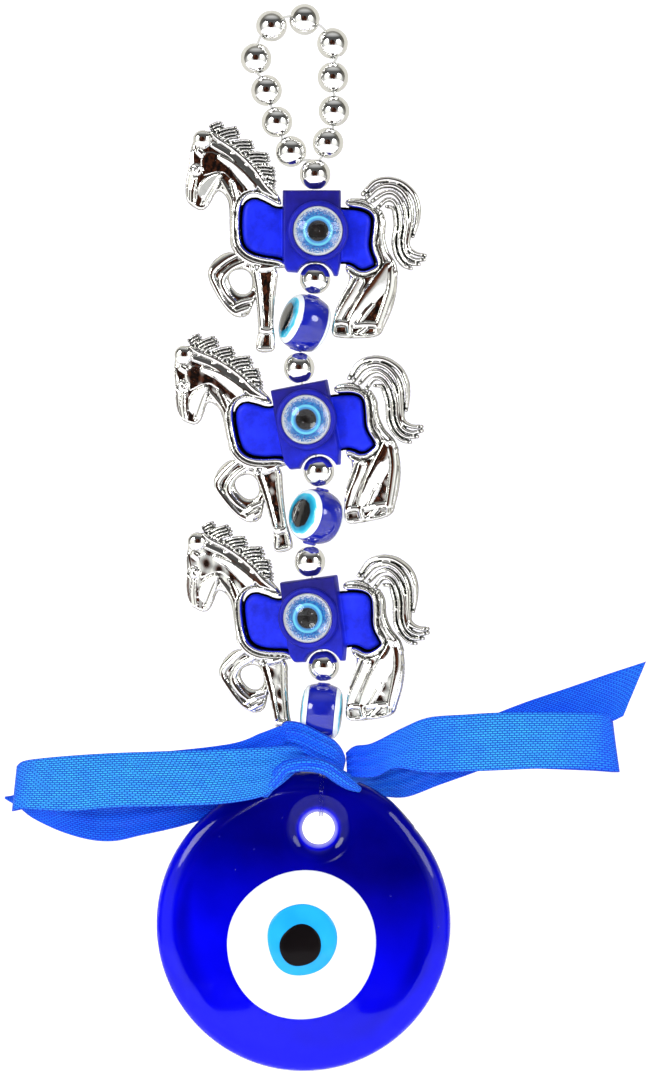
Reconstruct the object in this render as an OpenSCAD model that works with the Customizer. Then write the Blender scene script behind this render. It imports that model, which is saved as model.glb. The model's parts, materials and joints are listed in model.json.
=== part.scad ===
// Evil eye ornament: a beaded hanging loop, three horse charms, flat glass eye beads,
// a ribbon bow and a large flat glass eye disc, strung on one clear thread.
// Hangs along -Z, faces -Y. The origin is the hook's seat inside the top of the loop.

/* [Round beads] */
// Diameter of the round silver beads
bead_d = 6.2; // [6.0:0.05:6.3]
// Diameter of the hole through a round bead
bead_bore_d = 1.6; // [1.4:0.1:2]

/* [Thread] */
// Diameter of one strand of thread
strand_d = 0.5; // [0.4:0.05:0.6]
// Diameter of the doubled thread below the collector bead
cord_d = 0.8; // [0.6:0.1:0.9]

/* [Horse charm] */
// Thickness of the casting's relief in front of the thread
casting_front = 1.6; // [1.2:0.1:1.8]
// Thickness of the casting's relief behind the thread
casting_back = 1.8; // [1.6:0.1:2]
// Thickness of the tray floor behind the saddle
tray_floor = 0.8; // [0.6:0.1:0.9]
// Height of the raised block's front in front of the thread
block_front = 2.6; // [2.2:0.1:3]
// Diameter of the thread hole through the block
block_bore_d = 1.1; // [1:0.05:1.3]
// Diameter of the domed eye
eye_d = 9.8; // [9:0.1:10]

/* [Flat eye bead] */
// Diameter of the flat glass bead
flat_d = 11.4; // [11:0.1:11.6]
// Thickness of the flat glass bead over both eyes
flat_t = 8.4; // [8:0.1:8.6]
// Diameter of the hole through the flat bead
flat_bore_d = 2.4; // [2.2:0.1:2.6]

/* [Glass disc] */
// Diameter of the glass disc
disc_d = 59; // [56:1:60]
// Thickness of the glass disc at its middle
disc_t = 6.4; // [5:0.2:6.4]
// Diameter of the hanging hole
disc_hole_d = 6.2; // [5.6:0.2:6.4]
// Diameter of the fused white disc
white_d = 29.8; // [27:0.2:31]

/* [Ribbon] */
// Thickness that one bow loop or tail takes up
ribbon_t = 2.4; // [1.6:0.2:3]

/* [Hidden] */
$fn = 48;
eps = 0.02;
// Number of horses, and of the flat beads that follow them
HORSES = 3;
bead_r = bead_d / 2;
flat_r = flat_d / 2;

// Centres of the loop's beads, clockwise from the collector's left neighbour
LOOP = [
    [-2.4, -22.6], [-5.2, -16.7], [-7.3, -10.4], [-9.4, -4.0], [-6.3, 2.5],
    [0.3, 3.8], [5.9, -1.0], [6.0, -7.8], [6.2, -14.5], [5.0, -20.9]
];
COLLECTOR = [2.4, -27.0];
// Lean of the thread through each horse, and through each flat bead below it
STRAND_LEAN = [0, -10.8, -7.5];
LINK_LEAN = [18.7, 13.9, 5.5];
// Turn of each horse about its thread
HORSE_TURN = [0, -8, -12];
// Where each casting and each domed eye sits beside its thread
CAST_AT = [[0.6, 0], [0.6, 0.2], [0.6, 0.1]];
EYE_AT = [[0.6, 0], [-0.1, 1.2], [-1.2, 0.6]];
// How far each flat bead's eyes are turned from the front, and its place across its thread
FLAT_TURN = [68, 50, -88];
FLAT_SIDE = [-0.2, 0.2, -0.3];
// Middle of the bow's knot
KNOT_AT = [3.8, -143.4];
// The glass disc: centre, hole and lean
DISC_AT = [0.1, -177.1];
HOLE_AT = [3.1, -157.9];
DISC_LEAN = 9;

// Height of the block's top and of its notch's crown beside the horse's middle
block_top = 8.4;
notch_top = -6.05;
notch_r = 3.9;
// Clear gap between a round bead and a block, and where the thread bends at a flat bead
gap = 0.2;
bend = 0.45;
// Fronts of the saddle's lower step and of its bezel, and the bezel's width
saddle_front = 0.8;
bezel_front = 3.9;
bezel_d = 12.2;
// Seat of the eye in the bezel, the printed layer on it, and the clear dome over that
eye_seat = 3.0;
print_t = 0.2;
dome_edge = 0.8;
dome_rise = 1.5;
// Width and rise of the fused eye on each face of a flat bead
eye_flat_d = 9.4;
eye_rise = 1.3;
// Half thickness of a flat bead where its eyes start
flat_face = flat_t / 2 - eye_rise;
// Half height of the bow's knot, and the fronts of its loops and tails
knot_r = 2.9;
left_loop_front = -8.2;
right_loop_front = -2.6;
tail_front = 4.6;
// Fused layers on the disc's front
white_t = 0.6;
iris_t = 0.4;
pupil_t = 0.3;

function rad(v) = sqrt(v[0] * v[0] + v[1] * v[1]);
function unit(v) = v / rad(v);
function lean_of(a, b) = atan2(a[0] - b[0], a[1] - b[1]);
// The point a distance d down a thread that leans by a
function down(p, a, d) = p - d * [sin(a), cos(a)];

// The chain is worked out from the collector down: horse, round bead, flat bead, round bead
to_horse = bead_r + gap + block_top;
to_low_bead = gap + bead_r - notch_top;
to_bend = bead_r + bend / 2;
over_flat = 2 * flat_r + bend;
function top_bend(i) = i == 0 ? down(COLLECTOR, 0, bead_r + gap / 2)
    : down(low_bend(i - 1), LINK_LEAN[i - 1], over_flat);
function top_bead(i) = i == 0 ? COLLECTOR : down(top_bend(i), STRAND_LEAN[i], to_bend);
function horse_at(i) = down(top_bead(i), STRAND_LEAN[i], to_horse);
function low_bead(i) = down(horse_at(i), STRAND_LEAN[i], to_low_bead);
function low_bend(i) = down(low_bead(i), STRAND_LEAN[i], to_bend);
function flat_at(i) = down(low_bend(i), LINK_LEAN[i], over_flat / 2)
    + FLAT_SIDE[i] * [cos(LINK_LEAN[i]), -sin(LINK_LEAN[i])];

function numbered(name, n) = [for (i = [1 : n]) str(name, i)];
function horse_nodes(i) = [for (part = ["casting", "saddle", "eye_print", "eye_dome"])
    str("horse_", i, "_", part)];

// ---------- helpers ----------

// Lays an XY outline in the XZ plane, from y = y0 back to y = y1
module slab(y0, y1) {
    translate([0, y1, 0]) rotate([90, 0, 0]) linear_extrude(y1 - y0) children();
}

// A rod along Z from z = a down to z = b
module rod(d, a, b) {
    translate([0, 0, b]) cylinder(d = d, h = a - b);
}

// Places children at p, leaning by angle a in the XZ plane (positive is clockwise from the front)
module at(p, a = 0) {
    translate([p[0], 0, p[1]]) rotate([0, a, 0]) children();
}

// Straight thread between two points of the XZ plane, with round ends
module thread_run(a, b, d) {
    at(a, lean_of(a, b)) {
        rod(d, 0, -rad(b - a));
        sphere(d = d);
        translate([0, 0, -rad(b - a)]) sphere(d = d);
    }
}

// ---------- round beads ----------

module round_bead(p, along) {
    color("silver") at(p, along) difference() {
        sphere(r = bead_r);
        rod(bead_bore_d, bead_r + 1, -bead_r - 1);
    }
}

// The collector's hole opens out at its top, where both sides of the loop meet
module collector_bead() {
    color("silver") difference() {
        round_bead(COLLECTOR, 0);
        at(COLLECTOR) translate([0, 0, bead_r - 1.3])
            cylinder(r1 = bead_bore_d / 2, r2 = 2.3, h = 1.5);
    }
}

// Direction of the thread through loop bead i
LOOP_ALL = concat([COLLECTOR + [0, bead_r]], LOOP, [COLLECTOR + [0, bead_r]]);
function loop_dir(i) = unit(LOOP_ALL[i + 2] - LOOP_ALL[i]);
function loop_lean(i) = atan2(loop_dir(i)[0], loop_dir(i)[1]);

module loop_bead(i) {
    round_bead(LOOP[i], loop_lean(i));
}

// The round beads below the collector: one above and one below each horse but the first
SPACER_AT = [low_bead(0), top_bead(1), low_bead(1), top_bead(2), low_bead(2)];
SPACER_LEAN = [for (i = [0, 1, 1, 2, 2]) STRAND_LEAN[i]];

module spacer_bead(i) {
    round_bead(SPACER_AT[i], SPACER_LEAN[i]);
}

// ---------- thread ----------

// The loop's thread enters and leaves each bead along its hole
half_hole = bead_r * 0.96;
function loop_in(i) = i == 0 ? COLLECTOR + [-2.25, 2.72] : LOOP[i] - loop_dir(i) * half_hole;
LOOP_ROUTE = concat(
    [for (q = [[-0.3, 0.3 - bead_r], [-0.3, 1.6], [-0.9, 2.9]]) COLLECTOR + q],
    [for (i = [0 : len(LOOP) - 1]) each [
        loop_in(i),
        LOOP[i],
        LOOP[i] + loop_dir(i) * half_hole
    ]],
    [for (q = [[0.75, 2.6], [0.3, 1.6], [0.3, 0.3 - bead_r]]) COLLECTOR + q]
);

// A closed tube swept along points of the XZ or any plane; every ring has `sides` corners
function cross3(a, b) = [
    a[1] * b[2] - a[2] * b[1],
    a[2] * b[0] - a[0] * b[2],
    a[0] * b[1] - a[1] * b[0]
];
module swept_loop(route, normal, d, sides = 8) {
    n = len(route);
    dirs = [for (k = [0 : n - 1])
        let (v = route[(k + 1) % n] - route[(k + n - 1) % n]) v / norm(v)];
    points = [for (k = [0 : n - 1]) for (s = [0 : sides - 1])
        let (a = 360 * s / sides, w = cross3(dirs[k], normal))
        route[k] + (cos(a) * normal + sin(a) * w) * d / 2];
    faces = [for (k = [0 : n - 1]) for (s = [0 : sides - 1])
        let (k2 = (k + 1) % n, s2 = (s + 1) % sides)
        [k * sides + s, k2 * sides + s, k2 * sides + s2, k * sides + s2]];
    polyhedron(points, faces, convexity = 6);
}

module thread_loop() {
    color("gainsboro") swept_loop([for (p = LOOP_ROUTE) [p[0], 0, p[1]]], [0, 1, 0], strand_d);
}

// How far each stretch of thread stops short of a bend
bend_gap = cord_d / 2 + 0.15;

module thread_strand(i) {
    from = down(top_bend(i), STRAND_LEAN[i], bend_gap);
    to = down(low_bend(i), STRAND_LEAN[i], -bend_gap);
    color("gainsboro") thread_run(from, to, cord_d);
}

// Below the last flat bead the thread runs on into the bow's knot
module thread_link(i) {
    from = down(low_bend(i), LINK_LEAN[i], bend_gap);
    end = i < HORSES - 1 ? over_flat - bend_gap : over_flat + 2 * knot_r - 0.4;
    to = down(low_bend(i), LINK_LEAN[i], end);
    color("gainsboro") thread_run(from, to, cord_d);
}

// ---------- horse charm ----------
// Outlines are seen from the front, with x = 0 and z = 0 at the eye's usual centre

module torso_window() {
    polygon([
        [-15.6, 4.6], [-14.6, 6.4], [-12.7, 7.2], [-10.3, 6.2], [-8.2, 5.0], [-6.3, 5.2],
        [5.7, 5.0], [9.4, 4.5], [11.1, 3.1], [10.9, 0.3], [10.4, -3.1], [11.8, -6.2],
        [11.3, -7.1], [8.7, -8.1], [6.6, -6.5], [4.9, -6.4],
        [-6.3, -6.4], [-7.5, -5.5], [-11.6, -5.0], [-14.4, -3.8], [-15.6, -1.5]
    ]);
}

// The raised block before the arch under it is cut
module block_outline() {
    polygon([[-6.5, block_top], [5.2, block_top], [5.2, -6.2], [4.6, -8.9], [-5.6, -8.0],
        [-6.5, -6.4]]);
}

// The arch itself, cut right through
module notch() {
    slab(-block_front - 1, casting_back + 1) translate([0, notch_top - notch_r])
        circle(r = notch_r, $fn = 96);
}

module head_and_neck() {
    polygon([
        [-15.6, 4.6], [-14.6, 7.4], [-12.0, 7.9], [-6.9, 5.0], [-6.9, 7.2], [-8.7, 9.2],
        [-8.5, 13.4], [-9.7, 14.0], [-9.8, 16.2], [-12.7, 17.2], [-12.8, 19.1], [-15.6, 19.6],
        [-15.8, 21.2], [-19.6, 21.9], [-21.3, 20.6], [-25.0, 19.6], [-26.1, 16.5],
        [-26.1, 12.7], [-26.8, 9.3], [-26.6, 6.2], [-25.1, 5.0], [-23.2, 4.1], [-21.8, 5.2],
        [-20.3, 8.6], [-19.2, 8.3], [-17.8, 6.2], [-17.7, 2.4], [-17.7, -1.0], [-15.6, -1.5]
    ]);
}

module rump_and_tail() {
    polygon([
        [5.5, 6.7], [9.2, 6.7], [9.4, 8.8], [10.6, 10.4], [13.2, 11.3], [15.8, 11.0], [18.3, 9.6],
        [20.0, 7.2], [20.9, 4.1], [20.2, 1.0], [18.9, -2.1], [19.4, -3.3], [21.4, -3.9],
        [22.2, -5.2], [20.6, -7.0], [18.2, -7.4], [15.9, -7.0], [12.2, -8.4],
        [11.8, -6.2], [10.4, -3.1], [10.9, 0.3], [11.1, 3.1], [9.4, 4.5], [5.5, 5.0]
    ]);
}

module belly_and_chest() {
    polygon([
        [-17.7, 0], [-17.6, -3.0], [-15.8, -5.4], [-12.9, -6.9], [-5.5, -7.6], [-5.5, -5.0],
        [-11.6, -5.0], [-14.4, -3.8], [-15.6, -1.5], [-15.6, 1.0]
    ]);
    polygon([[5.3, -6.2], [6.6, -6.2], [8.7, -7.8], [11.3, -7.0], [12.4, -5.6], [14, -8.8],
        [8.5, -10.0], [5.3, -8.4]]);
}

module raised_foreleg() {
    difference() {
        polygon([
            [-17.5, -3.4], [-21.0, -5.6], [-22.5, -8.3], [-20.9, -11.8], [-18.5, -15.4],
            [-14.4, -17.2], [-12.9, -14.3], [-11.9, -12.4], [-11.9, -6.4]
        ]);
        polygon([[-16.9, -7.6], [-18.0, -9.0], [-17.2, -11.2], [-15.6, -12.4], [-13.6, -11.9],
            [-13.2, -9.2], [-14.4, -7.5]]);
    }
}

module straight_foreleg() {
    polygon([[-12.9, -6.2], [-7.6, -6.6], [-8.4, -12.4], [-8.8, -18.3], [-8.4, -20.6],
        [-8.5, -23.6], [-9.4, -24.2], [-12.0, -24.2], [-12.7, -23.0], [-12.0, -18.3]]);
}

module hind_legs() {
    polygon([
        [6.0, -7.0], [12.5, -6.6], [15.9, -7.2], [15.9, -11.4], [14.9, -15.5], [13.3, -18.9],
        [12.6, -20.6], [10.4, -21.4], [3.4, -21.4], [2.5, -20.0], [2.7, -18.6], [3.5, -15.5],
        [4.9, -12.4], [6.3, -10.0]
    ]);
}

module horse_outline() {
    head_and_neck();
    rump_and_tail();
    belly_and_chest();
    raised_foreleg();
    straight_foreleg();
    hind_legs();
}

// Everything the raised block must clear, a little larger than the block
module block_clearance() {
    polygon([[-6.7, 12], [5.4, 12], [5.4, -6.1], [3.8, -12], [-5.9, -12], [-6.7, -6.4]]);
}

module casting_shape(i) {
    front = casting_front;
    back = casting_back;
    saddle_y = back - tray_floor;
    difference() {
        union() {
            slab(-front, back) horse_outline();
            slab(saddle_y, back) torso_window();
        }
        slab(-front - 1, saddle_y) translate(-CAST_AT[i]) block_clearance();
        slab(-front - 1, saddle_y) window_clearance();
        translate([-CAST_AT[i][0], 0, -CAST_AT[i][1]]) notch();
    }
    // Poll ball and eye boss stand out of the head on both sides
    translate([-23, 0, 18.4]) sphere(r = 1.95);
    translate([-24.1, -front - 0.3, 12.7]) rotate([-90, 0, 0])
        cylinder(r = 0.95, h = front + back + 0.6);
}

// The window that the saddle sits in, with its fitting gap
module window_clearance() {
    scale([1.012, 1.02]) torso_window();
}

module horse_frame(i) {
    at(horse_at(i), STRAND_LEAN[i]) rotate([0, 0, HORSE_TURN[i]]) children();
}

module horse_casting(i) {
    color("silver") horse_frame(i) translate([CAST_AT[i][0], 0, CAST_AT[i][1]]) casting_shape(i);
}

module horse_saddle(i) {
    back = casting_back - tray_floor - 0.03;
    ex = EYE_AT[i][0];
    ez = EYE_AT[i][1];
    color("mediumblue") horse_frame(i) difference() {
        union() {
            slab(-saddle_front, back) translate(CAST_AT[i]) torso_window();
            slab(-block_front, back) block_outline();
            translate([ex, -bezel_front, ez]) rotate([-90, 0, 0])
                cylinder(d = bezel_d, h = bezel_front - saddle_front + eps);
        }
        rod(block_bore_d, block_top + 1, -12);
        notch();
        translate([ex, -eye_seat - 4, ez]) rotate([-90, 0, 0]) cylinder(d = eye_d + 0.1, h = 4);
    }
}

module horse_eye_print(i) {
    color("deepskyblue") horse_frame(i) translate([EYE_AT[i][0], -eye_seat - print_t, EYE_AT[i][1]])
        rotate([-90, 0, 0]) cylinder(d = eye_d, h = print_t);
}

// A lens on its flat back: a straight edge, then a ball's cap
module lens(d, edge, rise) {
    cap_r = (d * d / 4 + rise * rise) / (2 * rise);
    rotate_extrude($fn = 96) intersection() {
        square([d / 2, edge + rise]);
        translate([0, edge + rise - cap_r]) circle(r = cap_r, $fn = 360);
    }
}

module horse_eye_dome(i) {
    color("white") horse_frame(i)
        translate([EYE_AT[i][0], -eye_seat - print_t, EYE_AT[i][1]]) rotate([90, 0, 0])
        lens(eye_d, dome_edge, dome_rise);
}

// ---------- flat eye beads ----------

module flat_frame(i) {
    at(flat_at(i), LINK_LEAN[i]) rotate([0, 0, -FLAT_TURN[i]]) rotate([90, 0, 0]) children();
}

// Half section of the bead: flat faces and a rounded rim
module eye_bead_section() {
    rim = flat_r - eye_flat_d / 2;
    arc_r = (flat_face * flat_face + rim * rim) / (2 * rim);
    translate([0, -flat_face]) square([eye_flat_d / 2, 2 * flat_face]);
    intersection() {
        translate([flat_r - arc_r, 0]) circle(r = arc_r, $fn = 360);
        translate([0, -flat_face]) square([flat_r, 2 * flat_face]);
    }
}

module eye_bead(i) {
    color("mediumblue") flat_frame(i) difference() {
        rotate_extrude($fn = 96) eye_bead_section();
        rotate([-90, 0, 0]) rod(flat_bore_d, flat_r + 1, -flat_r - 1);
    }
}

module eye_bead_eyes(i) {
    color("white") flat_frame(i) for (side = [0, 180]) rotate([side, 0, 0])
        translate([0, 0, flat_face]) lens(eye_flat_d, 0, eye_rise);
}

// ---------- ribbon bow ----------

module bow_knot() {
    color("royalblue") difference() {
        at(KNOT_AT) slab(-5.2, 3.6) polygon([[-4.6, knot_r], [0, knot_r], [2.2, 1.6],
            [4.0, -0.6], [4.2, -knot_r], [-4.2, -knot_r]]);
        at(low_bend(2), LINK_LEAN[2]) rod(cord_d + 0.1, 0, -over_flat - 2 * knot_r);
    }
}

module bow_left_loop() {
    color("royalblue") slab(left_loop_front, left_loop_front + ribbon_t) polygon([
        [-56.6, -144.9], [-52.0, -143.4], [-34.0, -142.6], [-20.6, -142.0], [-11.6, -139.4],
        [-2.6, -136.8], [-0.8, -138.2], [-1.0, -146.0], [-8.2, -150.4], [-16.6, -152.4],
        [-30.6, -153.0], [-48.6, -153.8], [-57.4, -153.6]
    ]);
}

module bow_right_loop() {
    color("dodgerblue") slab(right_loop_front, right_loop_front + ribbon_t) polygon([
        [8.6, -141.8], [9.8, -138.2], [13.4, -137.8], [25.0, -135.8], [38.4, -134.8],
        [57.4, -134.4], [61.0, -136.0], [63.2, -146.6], [55.4, -146.0], [35.4, -146.0],
        [19.4, -146.6], [9.6, -146.4]
    ]);
}

module bow_left_tail() {
    color("blue") slab(tail_front, tail_front + ribbon_t) polygon([
        [-1.0, -143.0], [-20.0, -146.0], [-57.0, -150.0], [-60.4, -152.2], [-57.4, -154.0],
        [-50.6, -158.2], [-43.8, -160.6], [-38.4, -160.8], [-22.8, -157.4], [-8.0, -151.0],
        [-1.0, -148.6]
    ]);
}

module bow_right_tail() {
    color("blue") slab(tail_front, tail_front + ribbon_t) polygon([
        [8.8, -144.4], [24.0, -146.9], [38.4, -135.4], [69.0, -124.6], [64.4, -135.6],
        [61.6, -137.4], [35.0, -147.4], [22.6, -151.8], [16.4, -151.8], [9.4, -148.8]
    ]);
}

// ---------- glass disc ----------

THREAD_SEAT = HOLE_AT + [sin(DISC_LEAN), cos(DISC_LEAN)] * (disc_hole_d / 2 - strand_d / 2 - 0.2);
glass_side = disc_t / 2 + strand_d / 2 + 0.45;

// A long loop: down the front of the tab, through the hole and up the back
module thread_glass() {
    top = [KNOT_AT[0], KNOT_AT[1] - knot_r - 0.55];
    seat = THREAD_SEAT;
    mid = (top + seat) / 2;
    route = [
        [top[0], -0.7, top[1]],
        [top[0], -glass_side * 0.9, top[1] - 0.35],
        [mid[0], -glass_side, mid[1] + 2],
        [seat[0], -glass_side, seat[1] + 1.0],
        [seat[0], -glass_side + 0.3, seat[1]],
        [seat[0], 0, seat[1]],
        [seat[0], glass_side - 0.3, seat[1]],
        [seat[0], glass_side, seat[1] + 1.0],
        [mid[0], glass_side, mid[1] + 2],
        [top[0], glass_side * 0.9, top[1] - 0.35],
        [top[0], 0.7, top[1]]
    ];
    color("gainsboro") swept_loop(route, [cos(DISC_LEAN), 0, -sin(DISC_LEAN)], strand_d);
}

module glass_frame() {
    at(DISC_AT, DISC_LEAN) rotate([90, 0, 0]) children();
}

// A flat disc with a rounded rim, and a tab flattened across its top
module glass_blank() {
    rim_r = disc_t / 2;
    rotate_extrude($fn = 120) {
        translate([0, -rim_r]) square([disc_d / 2 - rim_r, disc_t]);
        intersection() {
            translate([disc_d / 2 - rim_r, 0]) circle(r = rim_r, $fn = 48);
            translate([0, -rim_r]) square([disc_d / 2, disc_t]);
        }
    }
}

module glass_tab() {
    translate([0, 0, -disc_t / 2 + 0.6]) linear_extrude(disc_t - 1.2)
        polygon([[-14, 24], [-7.5, 27.8], [-4.4, 29.4], [4.4, 29.4], [7.5, 27.8], [14, 24],
            [10, 16], [-10, 16]]);
}

module glass_disc() {
    color("navy") difference() {
        glass_frame() union() {
            glass_blank();
            glass_tab();
        }
        translate([HOLE_AT[0], -10, HOLE_AT[1]]) rotate([-90, 0, 0])
            cylinder(d = disc_hole_d, h = 20, $fn = 64);
    }
}

// Fused layers, each a thin lens standing on the one below
module glass_layer(at_p, d, y_back, thick) {
    translate([at_p[0], y_back, at_p[1]]) rotate([90, 0, 0]) cylinder(d = d, h = thick, $fn = 72);
}

module glass_white() {
    color("white") glass_layer([-0.2, -181.0], white_d, -disc_t / 2, white_t);
}

module glass_iris() {
    color("deepskyblue") glass_layer([-0.2, -180.0], 14.2, -disc_t / 2 - white_t, iris_t);
}

module glass_pupil() {
    color("black") glass_layer([-0.5, -181.0], 8.3, -disc_t / 2 - white_t - iris_t, pupil_t);
}

// ---------- everything ----------

module part(name) {
    children();
}

for (i = [0 : len(LOOP) - 1]) part(str("loop_bead_", i + 1)) loop_bead(i);
part("collector_bead") collector_bead();
part("thread_loop") thread_loop();
for (i = [0 : len(SPACER_AT) - 1]) part(str("spacer_bead_", i + 1)) spacer_bead(i);
for (i = [0 : HORSES - 1]) {
    part(str("horse_", i + 1, "_casting")) horse_casting(i);
    part(str("horse_", i + 1, "_saddle")) horse_saddle(i);
    part(str("horse_", i + 1, "_eye_print")) horse_eye_print(i);
    part(str("horse_", i + 1, "_eye_dome")) horse_eye_dome(i);
    part(str("eye_bead_", i + 1)) eye_bead(i);
    part(str("eye_bead_", i + 1, "_eyes")) eye_bead_eyes(i);
    part(str("thread_strand_", i + 1)) thread_strand(i);
    part(str("thread_link_", i + 1)) thread_link(i);
}
part("bow_knot") bow_knot();
part("bow_left_loop") bow_left_loop();
part("bow_right_loop") bow_right_loop();
part("bow_left_tail") bow_left_tail();
part("bow_right_tail") bow_right_tail();
part("thread_glass") thread_glass();
part("glass_disc") glass_disc();
part("glass_white") glass_white();
part("glass_iris") glass_iris();
part("glass_pupil") glass_pupil();
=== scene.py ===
import json
import math

import bpy
import numpy as np
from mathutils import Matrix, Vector
from mathutils.kdtree import KDTree

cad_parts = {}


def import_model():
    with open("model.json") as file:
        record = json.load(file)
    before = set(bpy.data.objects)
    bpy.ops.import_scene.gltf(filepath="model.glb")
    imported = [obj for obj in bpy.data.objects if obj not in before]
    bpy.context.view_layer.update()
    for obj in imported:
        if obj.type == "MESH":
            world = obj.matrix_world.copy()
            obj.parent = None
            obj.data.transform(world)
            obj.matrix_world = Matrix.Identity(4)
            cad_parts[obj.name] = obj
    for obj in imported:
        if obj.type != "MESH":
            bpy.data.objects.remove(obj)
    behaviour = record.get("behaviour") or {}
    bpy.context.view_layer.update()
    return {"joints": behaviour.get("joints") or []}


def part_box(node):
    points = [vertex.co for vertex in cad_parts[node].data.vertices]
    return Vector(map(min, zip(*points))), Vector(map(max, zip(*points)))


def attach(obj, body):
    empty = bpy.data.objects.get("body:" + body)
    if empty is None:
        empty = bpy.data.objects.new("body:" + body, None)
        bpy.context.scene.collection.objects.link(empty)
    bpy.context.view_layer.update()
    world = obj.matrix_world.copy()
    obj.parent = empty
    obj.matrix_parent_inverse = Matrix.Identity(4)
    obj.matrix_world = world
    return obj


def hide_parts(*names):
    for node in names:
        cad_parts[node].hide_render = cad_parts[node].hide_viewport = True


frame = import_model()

MM = 0.001
rng = np.random.default_rng(7)

# ---------------------------------------------------------------- camera
# Square on, framed as closely as the photograph, in mm
VIEW_CENTRE = (4.4, -100.2)
VIEW_HEIGHT = 215.8
CAMERA_BACK = 900.0
SENSOR = 36.0

scene = bpy.context.scene
camera = bpy.data.objects.new("camera", bpy.data.cameras.new("camera"))
scene.collection.objects.link(camera)
camera.location = (VIEW_CENTRE[0] * MM, -CAMERA_BACK * MM, VIEW_CENTRE[1] * MM)
camera.rotation_euler = (math.radians(90), 0, 0)
camera.data.sensor_width = SENSOR
camera.data.lens = SENSOR * CAMERA_BACK / VIEW_HEIGHT
camera.data.clip_start, camera.data.clip_end = 0.05, 20.0
scene.camera = camera
scene.view_settings.view_transform = "Standard"

# ---------------------------------------------------------------- nodes


def tree(owner):
    """An owner's node tree, emptied."""
    owner.use_nodes = True
    owner.node_tree.nodes.clear()
    return owner.node_tree


def feed(nt, n, inputs):
    """Sets a node's inputs, given as values or as sockets to link."""
    for key, value in inputs.items():
        if isinstance(value, bpy.types.NodeSocket):
            nt.links.new(value, n.inputs[key])
        else:
            n.inputs[key].default_value = value


def node(nt, kind, inputs=None, **settings):
    """A new node with its inputs and settings."""
    n = nt.nodes.new(kind)
    for key, value in settings.items():
        setattr(n, key, value)
    feed(nt, n, inputs or {})
    return n


def ramp(nt, fac, stops):
    """A colour ramp: stops are (place, (r, g, b)) or (place, grey)."""
    n = node(nt, "ShaderNodeValToRGB", {0: fac})
    while len(n.color_ramp.elements) < len(stops):
        n.color_ramp.elements.new(1.0)
    for e, (place, c) in zip(n.color_ramp.elements, stops):
        e.position = place
        e.color = (*c, 1) if hasattr(c, "__len__") else (c, c, c, 1)
    return n.outputs[0]


def calc(nt, op, a, b=0.0, c=0.0):
    return node(nt, "ShaderNodeMath", {0: a, 1: b, 2: c}, operation=op).outputs[0]


def vector(nt, op, inputs, out=0):
    return node(nt, "ShaderNodeVectorMath", inputs, operation=op).outputs[out]


def noise(nt, scale, detail=2.0, rough=0.5, at=None):
    """Noise at a vector, or over the piece's own box where none is given."""
    inputs = {"Scale": scale, "Detail": detail, "Roughness": rough}
    if at is not None:
        inputs["Vector"] = at
    return node(nt, "ShaderNodeTexNoise", inputs).outputs[0]


def object_noise(nt, scale, detail=3.0, rough=0.5):
    return noise(nt, scale, detail, rough, node(nt, "ShaderNodeTexCoord").outputs["Object"])


def attribute(nt, name):
    return node(nt, "ShaderNodeAttribute", attribute_name=name).outputs["Fac"]


def mix(nt, fac, a, b, blend="MIX"):
    """Mixes two colours, given as sockets or as (r, g, b)."""
    a, b = ((*c, 1) if isinstance(c, tuple) else c for c in (a, b))
    return node(nt, "ShaderNodeMix", {0: fac, 6: a, 7: b}, data_type="RGBA",
                blend_type=blend).outputs[2]


def principled(name, **inputs):
    """A material with its shader's own numbers and (r, g, b) colours, its tree and its shader."""
    m = bpy.data.materials.new(name)
    nt = tree(m)
    values = {k.replace("_", " "): (*v, 1.0) if isinstance(v, tuple) else v
              for k, v in inputs.items()}
    bsdf = node(nt, "ShaderNodeBsdfPrincipled", values)
    node(nt, "ShaderNodeOutputMaterial", {0: bsdf.outputs[0]})
    return m, nt, bsdf


def finish(nt, bsdf, colour=None, roughness=None, height=None, strength=0.0, deep_mm=0.0):
    """Links a shader's colour and roughness, and bumps it by a height."""
    if colour is not None:
        nt.links.new(colour, bsdf.inputs["Base Color"])
    if roughness is not None:
        nt.links.new(roughness, bsdf.inputs["Roughness"])
    if height is not None:
        bump = node(nt, "ShaderNodeBump", {"Height": height, "Strength": strength,
                                           "Distance": deep_mm * MM})
        nt.links.new(bump.outputs[0], bsdf.inputs["Normal"])


# ---------------------------------------------------------------- lights and stage


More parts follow.
